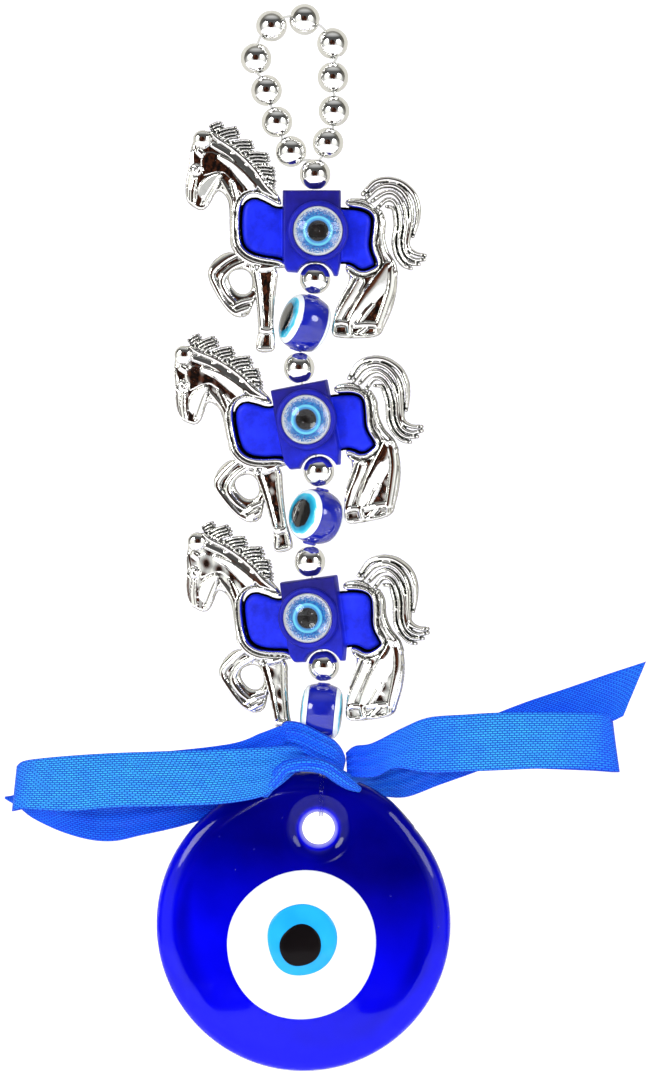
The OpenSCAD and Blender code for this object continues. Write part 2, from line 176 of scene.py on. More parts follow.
def world():
    """A studio: soft boxes left and right, a pale low side, a grey ceiling, a dark middle."""
    w = bpy.data.worlds.new("studio")
    scene.world = w
    nt = tree(w)
    co = node(nt, "ShaderNodeTexCoord").outputs["Generated"]
    xyz = node(nt, "ShaderNodeSeparateXYZ", {0: co}).outputs
    height = ramp(nt, calc(nt, "MULTIPLY_ADD", xyz[2], 0.5, 0.5), [
        (0.0, 0.55), (0.22, 0.50), (0.33, 0.80), (0.44, 0.66), (0.50, 0.42), (0.58, 0.20),
        (0.66, 0.085), (0.82, 0.08), (0.95, 0.6)])

    def disc(direction, stops):
        """A round patch of the sky, by the share of half a turn away from a direction."""
        aim = vector(nt, "DOT_PRODUCT", {0: co, 1: Vector(direction).normalized()}, "Value")
        angle = calc(nt, "ARCCOSINE", calc(nt, "MINIMUM", aim, 0.99999))
        return ramp(nt, calc(nt, "DIVIDE", angle, math.pi), stops)

    colour = height
    for x in (-0.78, 0.78):
        box = disc((x, -0.66, 0.05), [(0.0, 1.0), (0.105, 1.0), (0.125, 0.0)])
        colour = mix(nt, box, colour, (1.08, 1.08, 1.04))
    horizon = disc((0, -1, 0), [(0.40, 0.0), (0.47, 1.0), (0.54, 1.0), (0.60, 0.0)])
    colour = mix(nt, calc(nt, "MULTIPLY", horizon, 0.75), colour, (0.16, 0.15, 0.12))
    room = ramp(nt, noise(nt, 9.0, 3.0, at=co), [
        (0.42, (0.006, 0.005, 0.005)), (0.52, (0.05, 0.016, 0.008)), (0.66, (0.13, 0.04, 0.02))])
    middle = disc((-0.03, -1, 0), [(0.105, 1.0), (0.14, 0.0)])
    colour = mix(nt, middle, colour, room)
    # The studio lights the ornament and shows in its chrome; behind the stage all is plain
    studio = node(nt, "ShaderNodeBackground", {0: colour, 1: 1.0}).outputs[0]
    plain = node(nt, "ShaderNodeBackground", {0: (0.93, 0.93, 0.95, 1.0), 1: 1.0}).outputs[0]
    seen = node(nt, "ShaderNodeLightPath").outputs["Is Camera Ray"]
    both = node(nt, "ShaderNodeMixShader", {0: seen, 1: studio, 2: plain}).outputs[0]
    node(nt, "ShaderNodeOutputWorld", {0: both})


MIDDLE = (0.004, 0, -0.1)


def lamp(name, at, size, watts, colour=(1, 1, 1), shown=True):
    """A round soft lamp aimed at the ornament; shown says whether shiny pieces mirror it."""
    data = bpy.data.lights.new(name, "AREA")
    data.shape, data.size, data.energy, data.color = "DISK", size, watts, colour
    ob = bpy.data.objects.new(name, data)
    scene.collection.objects.link(ob)
    ob.location = at
    aim = Vector(MIDDLE) - Vector(at)
    ob.rotation_euler = aim.to_track_quat("-Z", "Y").to_euler()
    ob.visible_glossy = shown


def flat_piece(name, corners, material):
    """A flat piece of the stage."""
    me = bpy.data.meshes.new(name)
    me.from_pydata([tuple(c) for c in corners], [], [(0, 1, 2, 3)])
    me.materials.append(material)
    ob = bpy.data.objects.new(name, me)
    scene.collection.objects.link(ob)
    return ob


WALL_Y, FLOOR_Z = 0.13, -0.36
WALL_GLOW, HOLE_GLOW = 0.22, 0.9
HOLE_ON_WALL = (0.0029, WALL_Y, -0.1662)  # where the camera sees the wall through the hole


def pale(nt, bsdf, scale, detail, low, high):
    """A faintly clouded colour between two pale ones."""
    finish(nt, bsdf, ramp(nt, noise(nt, scale, detail), [(0.3, low), (0.7, high)]))


def stage():
    """A pale wall behind the reach of every pose, clear from behind, and a pale floor below."""
    wall, nt, bsdf = principled("wall", Roughness=0.9)
    pale(nt, bsdf, 6.0, 2.0, (0.78, 0.77, 0.82), (0.83, 0.82, 0.86))
    # Its glow stands for light bounced about the room. It is brighter behind the glass's hole,
    # where the disc would shade it
    place = node(nt, "ShaderNodeTexCoord").outputs["Object"]
    away = vector(nt, "DISTANCE", {0: place, 1: HOLE_ON_WALL}, "Value")
    strength = ramp(nt, calc(nt, "MULTIPLY", away, 20.0), [(0.09, HOLE_GLOW), (0.20, WALL_GLOW)])
    glow = node(nt, "ShaderNodeEmission", {0: (0.93, 0.92, 0.97, 1), 1: strength}).outputs[0]
    lit = node(nt, "ShaderNodeAddShader", {0: bsdf.outputs[0], 1: glow}).outputs[0]
    # Shiny pieces mirror a dimmer wall, which keeps the chrome's edges grey
    shiny = node(nt, "ShaderNodeLightPath").outputs["Is Glossy Ray"]
    dim = node(nt, "ShaderNodeBsdfDiffuse", {"Color": (0.55, 0.54, 0.49, 1.0)}).outputs[0]
    front = node(nt, "ShaderNodeMixShader", {0: shiny, 1: lit, 2: dim}).outputs[0]
    back = node(nt, "ShaderNodeNewGeometry").outputs["Backfacing"]
    clear = node(nt, "ShaderNodeBsdfTransparent").outputs[0]
    both = node(nt, "ShaderNodeMixShader", {0: back, 1: front, 2: clear})
    out = next(n for n in nt.nodes if n.type == "OUTPUT_MATERIAL")
    nt.links.new(both.outputs[0], out.inputs[0])
    side, top, near, far = 0.9, 0.7, -1.2, 0.8
    flat_piece("backdrop", [(-side, WALL_Y, FLOOR_Z), (side, WALL_Y, FLOOR_Z),
                            (side, WALL_Y, top), (-side, WALL_Y, top)], wall)
    floor, nt, bsdf = principled("floor", Roughness=0.8, Emission_Color=(0.93, 0.92, 0.95),
                                 Emission_Strength=0.45)
    pale(nt, bsdf, 9.0, 3.0, (0.87, 0.865, 0.9), (0.92, 0.915, 0.94))
    flat_piece("floor", [(-side, near, FLOOR_Z), (side, near, FLOOR_Z), (side, far, FLOOR_Z),
                         (-side, far, FLOOR_Z)], floor)


world()
stage()
lamp("key", (-0.66, -0.72, 0.26), 0.40, 4.7, (1.0, 0.99, 0.97))
lamp("fill", (0.70, -0.70, 0.20), 0.40, 3.0, (0.97, 0.98, 1.0))
lamp("front", (-0.16, -1.6, 0.10), 0.16, 7.5, (0.98, 0.98, 1.0), shown=False)

# ---------------------------------------------------------------- mesh helpers


def piece(name, body, verts_mm, faces, material, uv=None, shade=None, replaces=()):
    """A mesh piece from points in millimetres. uv and shade are per point."""
    me = bpy.data.meshes.new(name)
    verts = np.asarray(verts_mm, float) * MM
    me.from_pydata(verts.tolist(), [], [tuple(f) for f in faces])
    me.materials.append(material)
    me.polygons.foreach_set("use_smooth", np.full(len(me.polygons), True))
    if uv is not None:
        corner = np.zeros(len(me.loops), np.int32)
        me.loops.foreach_get("vertex_index", corner)
        layer = me.uv_layers.new(name="UVMap")
        layer.data.foreach_set("uv", np.asarray(uv, np.float32)[corner].ravel())
    if shade is not None:
        layer = me.attributes.new("shade", "FLOAT", "POINT")
        layer.data.foreach_set("value", np.asarray(shade, np.float32))
    me.validate()
    me.update()
    ob = bpy.data.objects.new(name, me)
    scene.collection.objects.link(ob)
    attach(ob, body)
    if replaces:
        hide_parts(*replaces)
    return ob


def rot_y(p, a):
    """Leans points clockwise by a degrees, seen from the front."""
    c, s = math.cos(math.radians(a)), math.sin(math.radians(a))
    return np.stack([p[:, 0] * c + p[:, 2] * s, p[:, 1], -p[:, 0] * s + p[:, 2] * c], 1)


def rot_z(p, a):
    """Turns points anticlockwise by a degrees, seen from above."""
    c, s = math.cos(math.radians(a)), math.sin(math.radians(a))
    return np.stack([p[:, 0] * c - p[:, 1] * s, p[:, 0] * s + p[:, 1] * c, p[:, 2]], 1)


def lathe(profile, sides):
    """Points and quads of a profile of (radius, height) turned about Z. A radius of 0 is a pole."""
    verts, faces, rings = [], [], []
    angles = np.arange(sides) * 2 * math.pi / sides
    for r, h in profile:
        if r < 1e-6:
            rings.append([len(verts)])
            verts.append((0.0, 0.0, h))
        else:
            rings.append(list(range(len(verts), len(verts) + sides)))
            verts.extend((r * math.cos(a), r * math.sin(a), h) for a in angles)
    for a, b in zip(rings, rings[1:]):
        for i in range(sides):
            j = (i + 1) % sides
            ring = [a[i % len(a)], a[j % len(a)], b[j % len(b)], b[i % len(b)]]
            ring = [v for k, v in enumerate(ring) if v != ring[k - 1]]
            if len(ring) > 2:
                faces.append(ring)
    return np.array(verts), faces


def smooth_path(points, per=8, closed=False):
    """A Catmull-Rom curve through points of any dimension."""
    p = np.asarray(points, float)
    n = len(p)
    ext = np.concatenate([p[-1:], p, p[:2]]) if closed else np.concatenate(
        [2 * p[:1] - p[1:2], p, 2 * p[-1:] - p[-2:-1]])
    t = np.linspace(0, 1, per, endpoint=False)[:, None]
    out = []
    for i in range(n if closed else n - 1):
        a, b, c, d = ext[i:i + 4]
        out.append(0.5 * (2 * b + (c - a) * t + (2 * a - 5 * b + 4 * c - d) * t ** 2
                          + (3 * b - a - 3 * c + d) * t ** 3))
    out = np.concatenate(out)
    return out if closed else np.concatenate([out, p[-1:]])


def tube(path, radius, sides=10, closed=False):
    """Points and faces of a round tube along a path."""
    p = np.asarray(path, float)
    n = len(p)
    ahead = np.roll(p, -1, 0) - np.roll(p, 1, 0)
    if not closed:
        ahead[0], ahead[-1] = p[1] - p[0], p[-1] - p[-2]
    ahead /= np.linalg.norm(ahead, axis=1)[:, None]
    up = np.array([0.0, 1.0, 0.0])
    if abs(ahead[0] @ up) > 0.9:
        up = np.array([1.0, 0.0, 0.0])
    side = np.zeros_like(p)
    last = up
    for i in range(n):
        last = last - ahead[i] * (last @ ahead[i])
        last /= np.linalg.norm(last)
        side[i] = last
    cross = np.cross(ahead, side)
    angle = np.arange(sides) * 2 * math.pi / sides
    r = np.broadcast_to(radius, (n,))[:, None, None]
    verts = (p[:, None] + r * (np.cos(angle)[None, :, None] * side[:, None]
                               + np.sin(angle)[None, :, None] * cross[:, None])).reshape(-1, 3)
    faces = []
    for i in range(n if closed else n - 1):
        for s in range(sides):
            a, b = i * sides, ((i + 1) % n) * sides
            t = (s + 1) % sides
            faces.append((a + s, b + s, b + t, a + t))
    if not closed:
        faces.append(tuple(range(sides)))
        faces.append(tuple(range(n * sides - 1, (n - 1) * sides - 1, -1)))
    return verts, faces


def joined(*parts):
    """One mesh from several (points, faces)."""
    faces, start = [], 0
    for v, f in parts:
        faces += [tuple(i + start for i in q) for q in f]
        start += len(v)
    return np.concatenate([v for v, _ in parts]), faces


def outside(p, at, radius):
    """Distance of 2-D points from a circle, positive outside it."""
    return np.hypot(p[:, 0] - at[0], p[:, 1] - at[1]) - radius


# ---------------------------------------------------------------- relief castings


def chaikin(points, rounds=2):
    """A closed outline with its corners cut."""
    p = np.asarray(points, float)
    for _ in range(rounds):
        q = np.roll(p, -1, 0)
        p = np.stack([0.75 * p + 0.25 * q, 0.25 * p + 0.75 * q], 1).reshape(-1, 2)
    return p


def along(points, line):
    """Distance of 2-D points from a polyline, how far along it (0 to 1), and which side."""
    a, b = line[:-1], line[1:]
    ab = b - a
    ap = points[:, None] - a[None]
    t = np.clip((ap * ab).sum(2) / np.maximum((ab ** 2).sum(1), 1e-9), 0, 1)
    off = ap - t[..., None] * ab
    d = np.hypot(off[..., 0], off[..., 1])
    k = d.argmin(1)
    row = np.arange(len(points))
    side = ab[k, 0] * off[row, k, 1] - ab[k, 1] * off[row, k, 0]
    return d[row, k], (k + t[row, k]) / len(a), np.sign(side)


def in_polygon(points, poly):
    x, z = points[:, 0], points[:, 1]
    inside = np.zeros(len(points), bool)
    for (x0, z0), (x1, z1) in zip(poly, np.roll(poly, -1, 0)):
        if z0 == z1:
            continue
        cross = ((z0 > z) != (z1 > z)) & (x < (x1 - x0) * (z - z0) / (z1 - z0) + x0)
        inside ^= cross
    return inside


class Area:
    """A filled outline. Its distance is positive inside."""

    def __init__(self, outline, rounds=2):
        self.edge = chaikin(outline, rounds) if rounds else np.asarray(outline, float)

    def inside(self, p):
        return in_polygon(p, self.edge)

    def rim(self, step=0.12):
        loop = np.concatenate([self.edge, self.edge[:1]])
        out = []
        for a, b in zip(loop, loop[1:]):
            n = max(1, int(np.hypot(*(b - a)) / step))
            out.append(a + (b - a) * np.arange(n)[:, None] / n)
        return np.concatenate(out)

    def depth(self, p):
        d = along(p, np.concatenate([self.edge, self.edge[:1]]))[0]
        return np.where(self.inside(p), d, -d)

    def covers(self, p):
        return self.depth(p) > 0.02


class Stroke:
    """A ridge along a curve: half widths w and top heights h along its length.

    curve rounds it across, and slope raises its left side, as seen along it, by that much per mm.
    """

    def __init__(self, points, w, h, slope=0.0, curve=0.5):
        self.line = smooth_path(points, 5)
        self.w, self.h = np.atleast_1d(w).astype(float), np.atleast_1d(h).astype(float)
        self.slope, self.curve = slope, curve

    def ratio(self, p):
        """Distance over half width at each point, and the ridge's height there."""
        out, height = np.full(len(p), 9.0), np.zeros(len(p))
        reach = self.w.max() * 1.6
        lo, hi = self.line.min(0) - reach, self.line.max(0) + reach
        near = ((p > lo) & (p < hi)).all(1)
        if near.any():
            d, t, side = along(p[near], self.line)
            w = np.interp(t, np.linspace(0, 1, len(self.w)), self.w)
            h = np.interp(t, np.linspace(0, 1, len(self.h)), self.h)
            r = d / w
            inner = np.minimum(r, 1)
            body = h - self.curve * w * inner ** 2 + self.slope * side * inner * w
            out[near] = r
            height[near] = np.maximum(body - 3.2 * w * np.maximum(r - 1, 0), 0)
        return out, height

    def inside(self, p):
        return self.ratio(p)[0] < 1

    def covers(self, p):
        return self.ratio(p)[0] < 0.97

    def rim(self, step=0.12):
        line = self.line
        t = np.linspace(0, 1, len(line))
        w = np.interp(t, np.linspace(0, 1, len(self.w)), self.w)
        ahead = np.gradient(line, axis=0)
        ahead /= np.hypot(ahead[:, 0], ahead[:, 1])[:, None]
        n = np.stack([-ahead[:, 1], ahead[:, 0]], 1)
        fine = np.linspace(0, 1, max(8, int(np.hypot(*np.diff(line, axis=0).T).sum() / step)))
        sides = []
        for s in (1, -1):
            q = line + s * n * w[:, None]
            sides.append(np.stack([np.interp(fine, t, q[:, 0]), np.interp(fine, t, q[:, 1])], 1))
        angle = np.linspace(0, 2 * math.pi, 24, endpoint=False)
        disc = np.stack([np.cos(angle), np.sin(angle)], 1)
        return np.concatenate([*sides, line[0] + disc * w[0], line[-1] + disc * w[-1]])


def union_depth(points, shapes):
    """Distance to the outline of shapes together, positive inside."""
    rims = []
    for s in shapes:
        r = s.rim()
        covered = np.zeros(len(r), bool)
        for other in shapes:
            if other is not s:
                covered |= other.covers(r)
        rims.append(r[~covered])
    rims = np.concatenate(rims)
    kd = KDTree(len(rims))
    for i, (x, z) in enumerate(rims):
        kd.insert((x, z, 0), i)
    kd.balance()
    inside = np.zeros(len(points), bool)
    for s in shapes:
        inside |= s.inside(points)
    d = np.array([kd.find((x, z, 0))[2] for x, z in points])
    return np.where(inside, d, -d)


def relief(depth_of, heights_of, lo, hi, cell):
    """A closed mesh from heights in front of and behind a mid plane.

    depth_of(points) is the distance inside the outline. heights_of(points, depth) gives the front
    and back heights and a shade from 0 to 1. Grid points near the outline are moved onto it.
    Returns local points (x, y, z) with the front towards -y, the faces and the shade.
    """
    xs = np.arange(lo[0], hi[0] + cell, cell)
    zs = np.arange(lo[1], hi[1] + cell, cell)
    gx, gz = np.meshgrid(xs, zs, indexing="ij")
    p = np.stack([gx.ravel(), gz.ravel()], 1)
    d = depth_of(p)
    field = d.reshape(gx.shape)
    slope = np.stack([g.ravel() for g in np.gradient(field, cell)], 1)
    steep = np.maximum((slope ** 2).sum(1), 0.25)
    snap = np.abs(d) < 0.6 * cell
    p[snap] -= (d[snap] / steep[snap])[:, None] * slope[snap]
    keep = (d > 0) | snap
    d = np.where(snap, 0.0, d)
    front, back, shade = heights_of(p, np.maximum(d, 0))
    front[snap] = 0
    back[snap] = 0
    grid = np.arange(len(p)).reshape(gx.shape)
    cells = np.stack([grid[:-1, :-1], grid[1:, :-1], grid[1:, 1:], grid[:-1, 1:]], -1)
    cells = cells.reshape(-1, 4)
    full = keep[cells]
    rimmed = snap[cells]
    quads = cells[(full.sum(1) == 4) & (rimmed.sum(1) < 4)]
    corner = cells[full.sum(1) == 3]
    hole = (~full[full.sum(1) == 3]).argmax(1)
    tris = np.array([[c[(h + k) % 4] for k in (1, 2, 3)] for c, h in zip(corner, hole)], int)
    tris = tris.reshape(-1, 3)
    tris = tris[~snap[tris].all(1)]
    used = np.unique(np.concatenate([quads.ravel(), tris.ravel()]))
    front_id = np.full(len(p), -1)
    front_id[used] = np.arange(len(used))
    inner = used[~snap[used]]
    back_id = front_id.copy()
    back_id[inner] = len(used) + np.arange(len(inner))
    verts = np.concatenate([
        np.stack([p[used, 0], -front[used], p[used, 1]], 1),
        np.stack([p[inner, 0], back[inner], p[inner, 1]], 1)])
    faces = [tuple(f) for f in front_id[quads]] + [tuple(f) for f in front_id[tris]]
    faces += [tuple(f[::-1]) for f in back_id[quads]] + [tuple(f[::-1]) for f in back_id[tris]]
    return verts, faces, np.concatenate([shade[used], shade[inner]])


def domed(depth, radius):
    """A quarter round from 0 at the edge to 1 at radius inside it."""
    return np.sqrt(np.clip(1 - (1 - np.minimum(depth / radius, 1)) ** 2, 0, 1))


# Outlines of the horse, x = 0 and z = 0 at the eye's usual centre, as in the CAD
WINDOW = [
    (-15.6, 4.6), (-14.6, 6.4), (-12.7, 7.2), (-10.3, 6.2), (-8.2, 5.0), (-6.3, 5.2), (5.7, 5.0),
    (9.4, 4.5), (11.1, 3.1), (10.9, 0.3), (10.4, -3.1), (11.8, -6.2), (11.3, -7.1), (8.7, -8.1),
    (6.6, -6.5), (4.9, -6.4), (-6.3, -6.4), (-7.5, -5.5), (-11.6, -5.0), (-14.4, -3.8),
    (-15.6, -1.5)]
HEAD_NECK = [
    (-15.6, 4.6), (-14.6, 7.4), (-12.0, 7.9), (-7.3, 5.0), (-7.3, 6.4), (-8.7, 8.6), (-10.3, 10.6),
    (-12.3, 13.4), (-14.8, 15.9), (-18.2, 18.6), (-21.3, 20.4), (-24.4, 19.6), (-25.6, 16.5),
    (-25.9, 12.7), (-26.6, 9.3), (-26.4, 6.2), (-25.1, 5.0), (-23.2, 4.1), (-21.8, 5.2),
    (-20.3, 8.2), (-19.2, 8.0), (-17.8, 6.2), (-17.7, 2.4), (-17.7, -1.0), (-15.6, -1.5)]
RUMP = [
    (5.5, 6.7), (9.2, 6.9), (10.9, 5.4), (13.0, 3.0), (13.6, 0.6), (13.2, -2.0), (14.6, -5.0),
    (15.9, -7.0), (12.2, -8.4), (11.8, -6.2), (10.4, -3.1), (10.9, 0.3), (11.1, 3.1), (9.4, 4.5),
    (5.5, 5.0)]
BELLY = [
    (-17.7, 0), (-17.6, -3.0), (-15.8, -5.4), (-12.9, -6.9), (-7.0, -7.4), (-5.9, -6.6),
    (-5.9, -5.0), (-11.6, -5.0), (-14.4, -3.8), (-15.6, -1.5), (-15.6, 1.0)]
GROIN = [
    (5.6, -6.2), (6.6, -6.2), (8.7, -7.8), (11.3, -7.0), (12.4, -5.6), (14, -8.8), (8.5, -10.0),
    (5.4, -8.2)]
FORELEG = [
    (-17.5, -3.4), (-21.0, -5.6), (-22.4, -8.3), (-20.9, -11.8), (-18.7, -15.2), (-16.6, -17.2),
    (-13.9, -17.0), (-12.9, -14.3), (-11.9, -12.4), (-11.9, -6.4)]
FORELEG_GAP = [
    (-16.9, -7.6), (-18.0, -9.0), (-17.2, -11.2), (-15.6, -12.6), (-13.4, -12.1), (-13.0, -9.2),
    (-14.4, -7.4)]
STRAIGHT_LEG = [
    (-13.1, -6.2), (-7.7, -6.6), (-8.5, -12.4), (-9.0, -18.3), (-8.6, -20.6), (-8.5, -23.4),
    (-9.4, -24.1), (-12.0, -24.1), (-12.6, -23.0), (-11.9, -20.0), (-12.0, -18.3)]
HIND = [
    (6.0, -7.0), (12.5, -6.6), (15.9, -7.2), (15.9, -11.4), (14.9, -15.5), (13.3, -18.9),
    (12.6, -20.6), (10.4, -21.3), (3.4, -21.3), (2.6, -20.0), (2.8, -18.6), (3.5, -15.5),
    (4.9, -12.4), (6.3, -10.0)]


def tuft(root, tip, pitch, w, h, strands=4, droop=0.2):
    """Strokes of a lock of mane, side by side from its root to its blunt tip."""
    root, tip = np.array(root, float), np.array(tip, float)
    across = np.array([-(tip - root)[1], (tip - root)[0]]) / np.hypot(*(tip - root))
    out = []
    for k in range(strands):
        off = across * pitch * (k - (strands - 1) / 2)
        short = (tip - root) * 0.05 * abs(k - 0.3 * strands)
        mid = (root + tip) / 2 + off + across * droop
        out.append(Stroke([root + off, mid, tip + off - short], [w, w, w * 0.9], [h, h, h * 0.92],
                          -0.25, 0.45))
    return out


MANE = (
    tuft((-21.4, 20.6), (-19.0, 21.4), 0.62, 0.29, 1.25, 3)
    + tuft((-20.0, 19.0), (-15.8, 20.0), 0.66, 0.31, 1.45)
    + tuft((-17.2, 16.9), (-12.9, 17.2), 0.68, 0.32, 1.5)
    + tuft((-14.3, 14.6), (-9.7, 14.6), 0.68, 0.32, 1.5)
    + tuft((-12.3, 12.1), (-8.6, 11.8), 0.66, 0.31, 1.45)
    + tuft((-10.6, 9.9), (-8.6, 9.2), 0.62, 0.29, 1.35))
TAIL = [
    Stroke([(9.0, 7.6), (11.4, 10.0), (14.2, 10.5), (16.9, 9.7), (19.1, 7.6), (20.0, 5.0),
            (19.9, 2.2), (19.0, -0.9)], [0.5, 0.62, 0.62, 0.6, 0.35], [1.3, 1.5, 1.5, 1.4, 0.9]),
    Stroke([(9.8, 6.9), (12.1, 8.9), (14.6, 9.3), (16.7, 8.3), (18.2, 6.1), (18.7, 3.4),
            (18.3, 0.2), (17.9, -2.7), (19.3, -4.2), (21.4, -4.7)],
           [0.45, 0.58, 0.6, 0.58, 0.55, 0.4], [1.4, 1.6, 1.65, 1.6, 1.5, 1.1]),
    Stroke([(10.9, 6.2), (13.1, 7.7), (14.9, 7.9), (16.4, 6.6), (17.4, 4.4), (17.6, 1.4),
            (17.2, -1.7), (17.6, -4.2), (19.2, -5.5), (21.3, -5.5)],
           [0.45, 0.52, 0.52, 0.52, 0.5, 0.42], [1.5, 1.7, 1.7, 1.65, 1.6, 1.15]),
    Stroke([(12.0, 4.9), (13.7, 6.4), (15.2, 6.1), (16.2, 4.2), (16.5, 1.4), (16.1, -1.7),
            (16.6, -4.4), (18.0, -6.1), (20.2, -6.5)],
           [0.45, 0.5, 0.5, 0.48, 0.48, 0.4], [1.5, 1.7, 1.7, 1.65, 1.55, 1.15]),
    Stroke([(13.7, 5.1), (15.0, 4.7), (15.4, 3.0), (15.5, 0.9), (15.1, -2.0), (15.6, -4.6),
            (17.0, -6.6), (18.6, -7.3)],
           [0.35, 0.48, 0.46, 0.46, 0.4], [1.4, 1.65, 1.65, 1.55, 1.15]),
    Stroke([(12.5, 4.0), (13.1, 2.0), (12.9, -1.0), (13.6, -4.0), (15.0, -6.4), (15.5, -8.3)],
           [0.45, 0.5, 0.55, 0.6, 0.55], [1.4, 1.65, 1.65, 1.65, 1.5], 0.15)]
LEG_RIDGES = [
    # Raised foreleg: outer and inner ridge, then the hoof's bands
    Stroke([(-16.4, -4.3), (-19.2, -5.9), (-21.5, -8.4), (-20.2, -11.9), (-18.3, -15.1),
            (-15.9, -16.7)], [0.65, 0.75, 0.7, 0.6], [1.5, 1.6, 1.6, 1.5], 0.12, 0.4),
    Stroke([(-14.6, -6.1), (-17.2, -7.3), (-19.2, -9.6), (-18.2, -12.4), (-16.4, -14.4)],
           [0.5, 0.6, 0.6, 0.5], [1.4, 1.55, 1.55, 1.4], -0.15, 0.4),
    Stroke([(-17.2, -15.0), (-15.2, -14.1), (-13.2, -13.6)], 0.4, [1.5, 1.6, 1.3], 0.0, 0.5),
    Stroke([(-16.4, -16.3), (-14.8, -15.7), (-13.2, -15.1)], 0.5, [1.6, 1.7, 1.3], 0.0, 0.5),
    # Straight foreleg: a cap, two edges, the fetlock and the hoof
    Stroke([(-13.0, -7.3), (-10.5, -7.3), (-7.7, -6.9)], 0.55, [1.4, 1.6, 1.4], 0.2),
    Stroke([(-12.4, -8.2), (-11.8, -12.3), (-11.3, -18.8)], [0.6, 0.5, 0.42], 1.45, -0.3, 0.15),
    Stroke([(-8.4, -8.2), (-8.9, -12.3), (-9.2, -18.8)], [0.62, 0.52, 0.42], 1.45, 0.3, 0.15),
    Stroke([(-11.6, -19.5), (-10.2, -19.8), (-8.9, -19.5)], 0.62, [1.5, 1.7, 1.5], 0.0, 0.7),
    Stroke([(-11.4, -20.8), (-12.1, -23.3)], [0.5, 0.6], [1.35, 1.6], -0.3, 0.2),
    Stroke([(-9.1, -20.8), (-8.9, -23.3)], [0.5, 0.55], [1.35, 1.6], 0.3, 0.2),
    Stroke([(-11.8, -23.5), (-9.2, -23.5)], 0.45, 1.55, 0.0, 0.7),
    # Hind legs: the far edge, the near leg's front, the thigh, and the far leg
    Stroke([(7.0, -9.2), (5.3, -12.0), (3.9, -14.6), (3.1, -17.2)], [0.38, 0.34, 0.3], 1.3),
    Stroke([(8.4, -10.0), (6.9, -12.7), (5.2, -15.3), (3.9, -17.7)], [0.75, 0.75, 0.65], 1.5,
           -0.3, 0.12),
    Stroke([(14.2, -7.4), (12.6, -10.2), (10.1, -13.2), (7.9, -16.0), (6.5, -18.0)],
           [1.3, 1.75, 1.5, 1.0, 0.6], [1.55, 1.6, 1.6, 1.55, 1.4], -0.27, 0.10),
    Stroke([(10.9, -14.6), (9.6, -16.0), (8.2, -18.0)], [0.3, 0.45, 0.4], 1.35, -0.2, 0.3),
    Stroke([(14.9, -7.6), (14.6, -11.2), (13.6, -14.6), (12.1, -18.8)], [0.7, 0.62, 0.55], 1.5,
           -0.3, 0.15),
    Stroke([(3.1, -18.5), (4.6, -18.2), (6.2, -18.5)], 0.5, [1.5, 1.7, 1.5], 0.2, 0.5),
    Stroke([(3.2, -20.6), (4.6, -20.8), (6.0, -20.7)], 0.42, [1.4, 1.6, 1.4], 0.0, 0.6),
    Stroke([(3.1, -18.8), (3.0, -20.5)], 0.34, 1.5),
    Stroke([(6.1, -18.7), (6.3, -20.5)], 0.4, 1.55),
    Stroke([(7.4, -18.7), (9.6, -18.6), (11.9, -18.7)], 0.5, [1.4, 1.7, 1.5], 0.2, 0.5),
    Stroke([(7.3, -20.7), (9.4, -21.0), (11.5, -20.6)], 0.42, [1.4, 1.6, 1.4], 0.0, 0.6),
    Stroke([(8.0, -20.4), (9.6, -19.2)], 0.36, 1.45),
    Stroke([(11.9, -18.9), (11.7, -20.4)], 0.4, 1.5)]
HEAD_RIDGES = [
    # Bright bar along the neck, the crest band and the cord of the mane outside it
    Stroke([(-19.6, 14.9), (-17.4, 13.5), (-15.2, 11.4), (-13.1, 9.0)], [0.35, 0.6, 0.9, 0.95],
           [1.3, 1.45, 1.5, 1.4], 0.32, 0.10),
    Stroke([(-20.9, 17.5), (-17.5, 15.5), (-14.8, 13.0), (-11.9, 9.9), (-9.8, 7.5), (-7.7, 5.8)],
           [0.5, 0.6, 0.66, 0.7, 0.62, 0.4], [1.2, 1.35, 1.4, 1.4, 1.2], -0.30, 0.05),
    Stroke([(-21.2, 19.7), (-20.0, 18.5), (-17.1, 16.6), (-14.3, 14.2), (-12.0, 11.6),
            (-10.2, 9.0), (-8.0, 6.9)], [0.3, 0.34, 0.34, 0.32, 0.3], [1.5, 1.65, 1.65, 1.6, 1.4]),
    # Nose, the hollow beside it, jaw line, throat and chest
    Stroke([(-25.4, 16.0), (-25.6, 12.0), (-26.0, 8.6), (-26.0, 6.2)], [0.5, 0.6, 0.6, 0.5],
           [1.2, 1.3, 1.3, 1.2], -0.35, 0.15),
    Stroke([(-24.6, 10.6), (-25.1, 8.2), (-25.2, 6.0)], [0.35, 0.42, 0.4], [1.2, 1.25, 1.2],
           0.1, 0.1),
    Stroke([(-23.9, 16.1), (-23.2, 15.4)], [0.55, 0.6], [1.45, 1.4], 0.2, 0.5),
    Stroke([(-22.0, 4.9), (-20.7, 7.3), (-19.4, 9.3)], [0.3, 0.36, 0.3], [1.2, 1.4, 1.1]),
    Stroke([(-17.2, 10.0), (-16.6, 7.9), (-16.1, 5.8)], [0.35, 0.5, 0.45], 1.3, -0.3, 0.15),
    Stroke([(-19.2, 10.2), (-18.1, 8.3), (-17.1, 6.2), (-16.9, 3.4), (-16.9, 0.0), (-16.8, -2.7),
            (-15.2, -5.0), (-12.4, -6.4), (-8.0, -6.9)], [0.35, 0.45, 0.5, 0.5, 0.5],
           [1.1, 1.4, 1.6, 1.6, 1.5])]
CHEEK = Area([(-19.0, 11.9), (-21.9, 11.3), (-24.0, 9.2), (-24.3, 6.6), (-24.7, 5.3), (-23.0, 4.4),
              (-21.6, 6.2), (-20.2, 8.4)], 1)
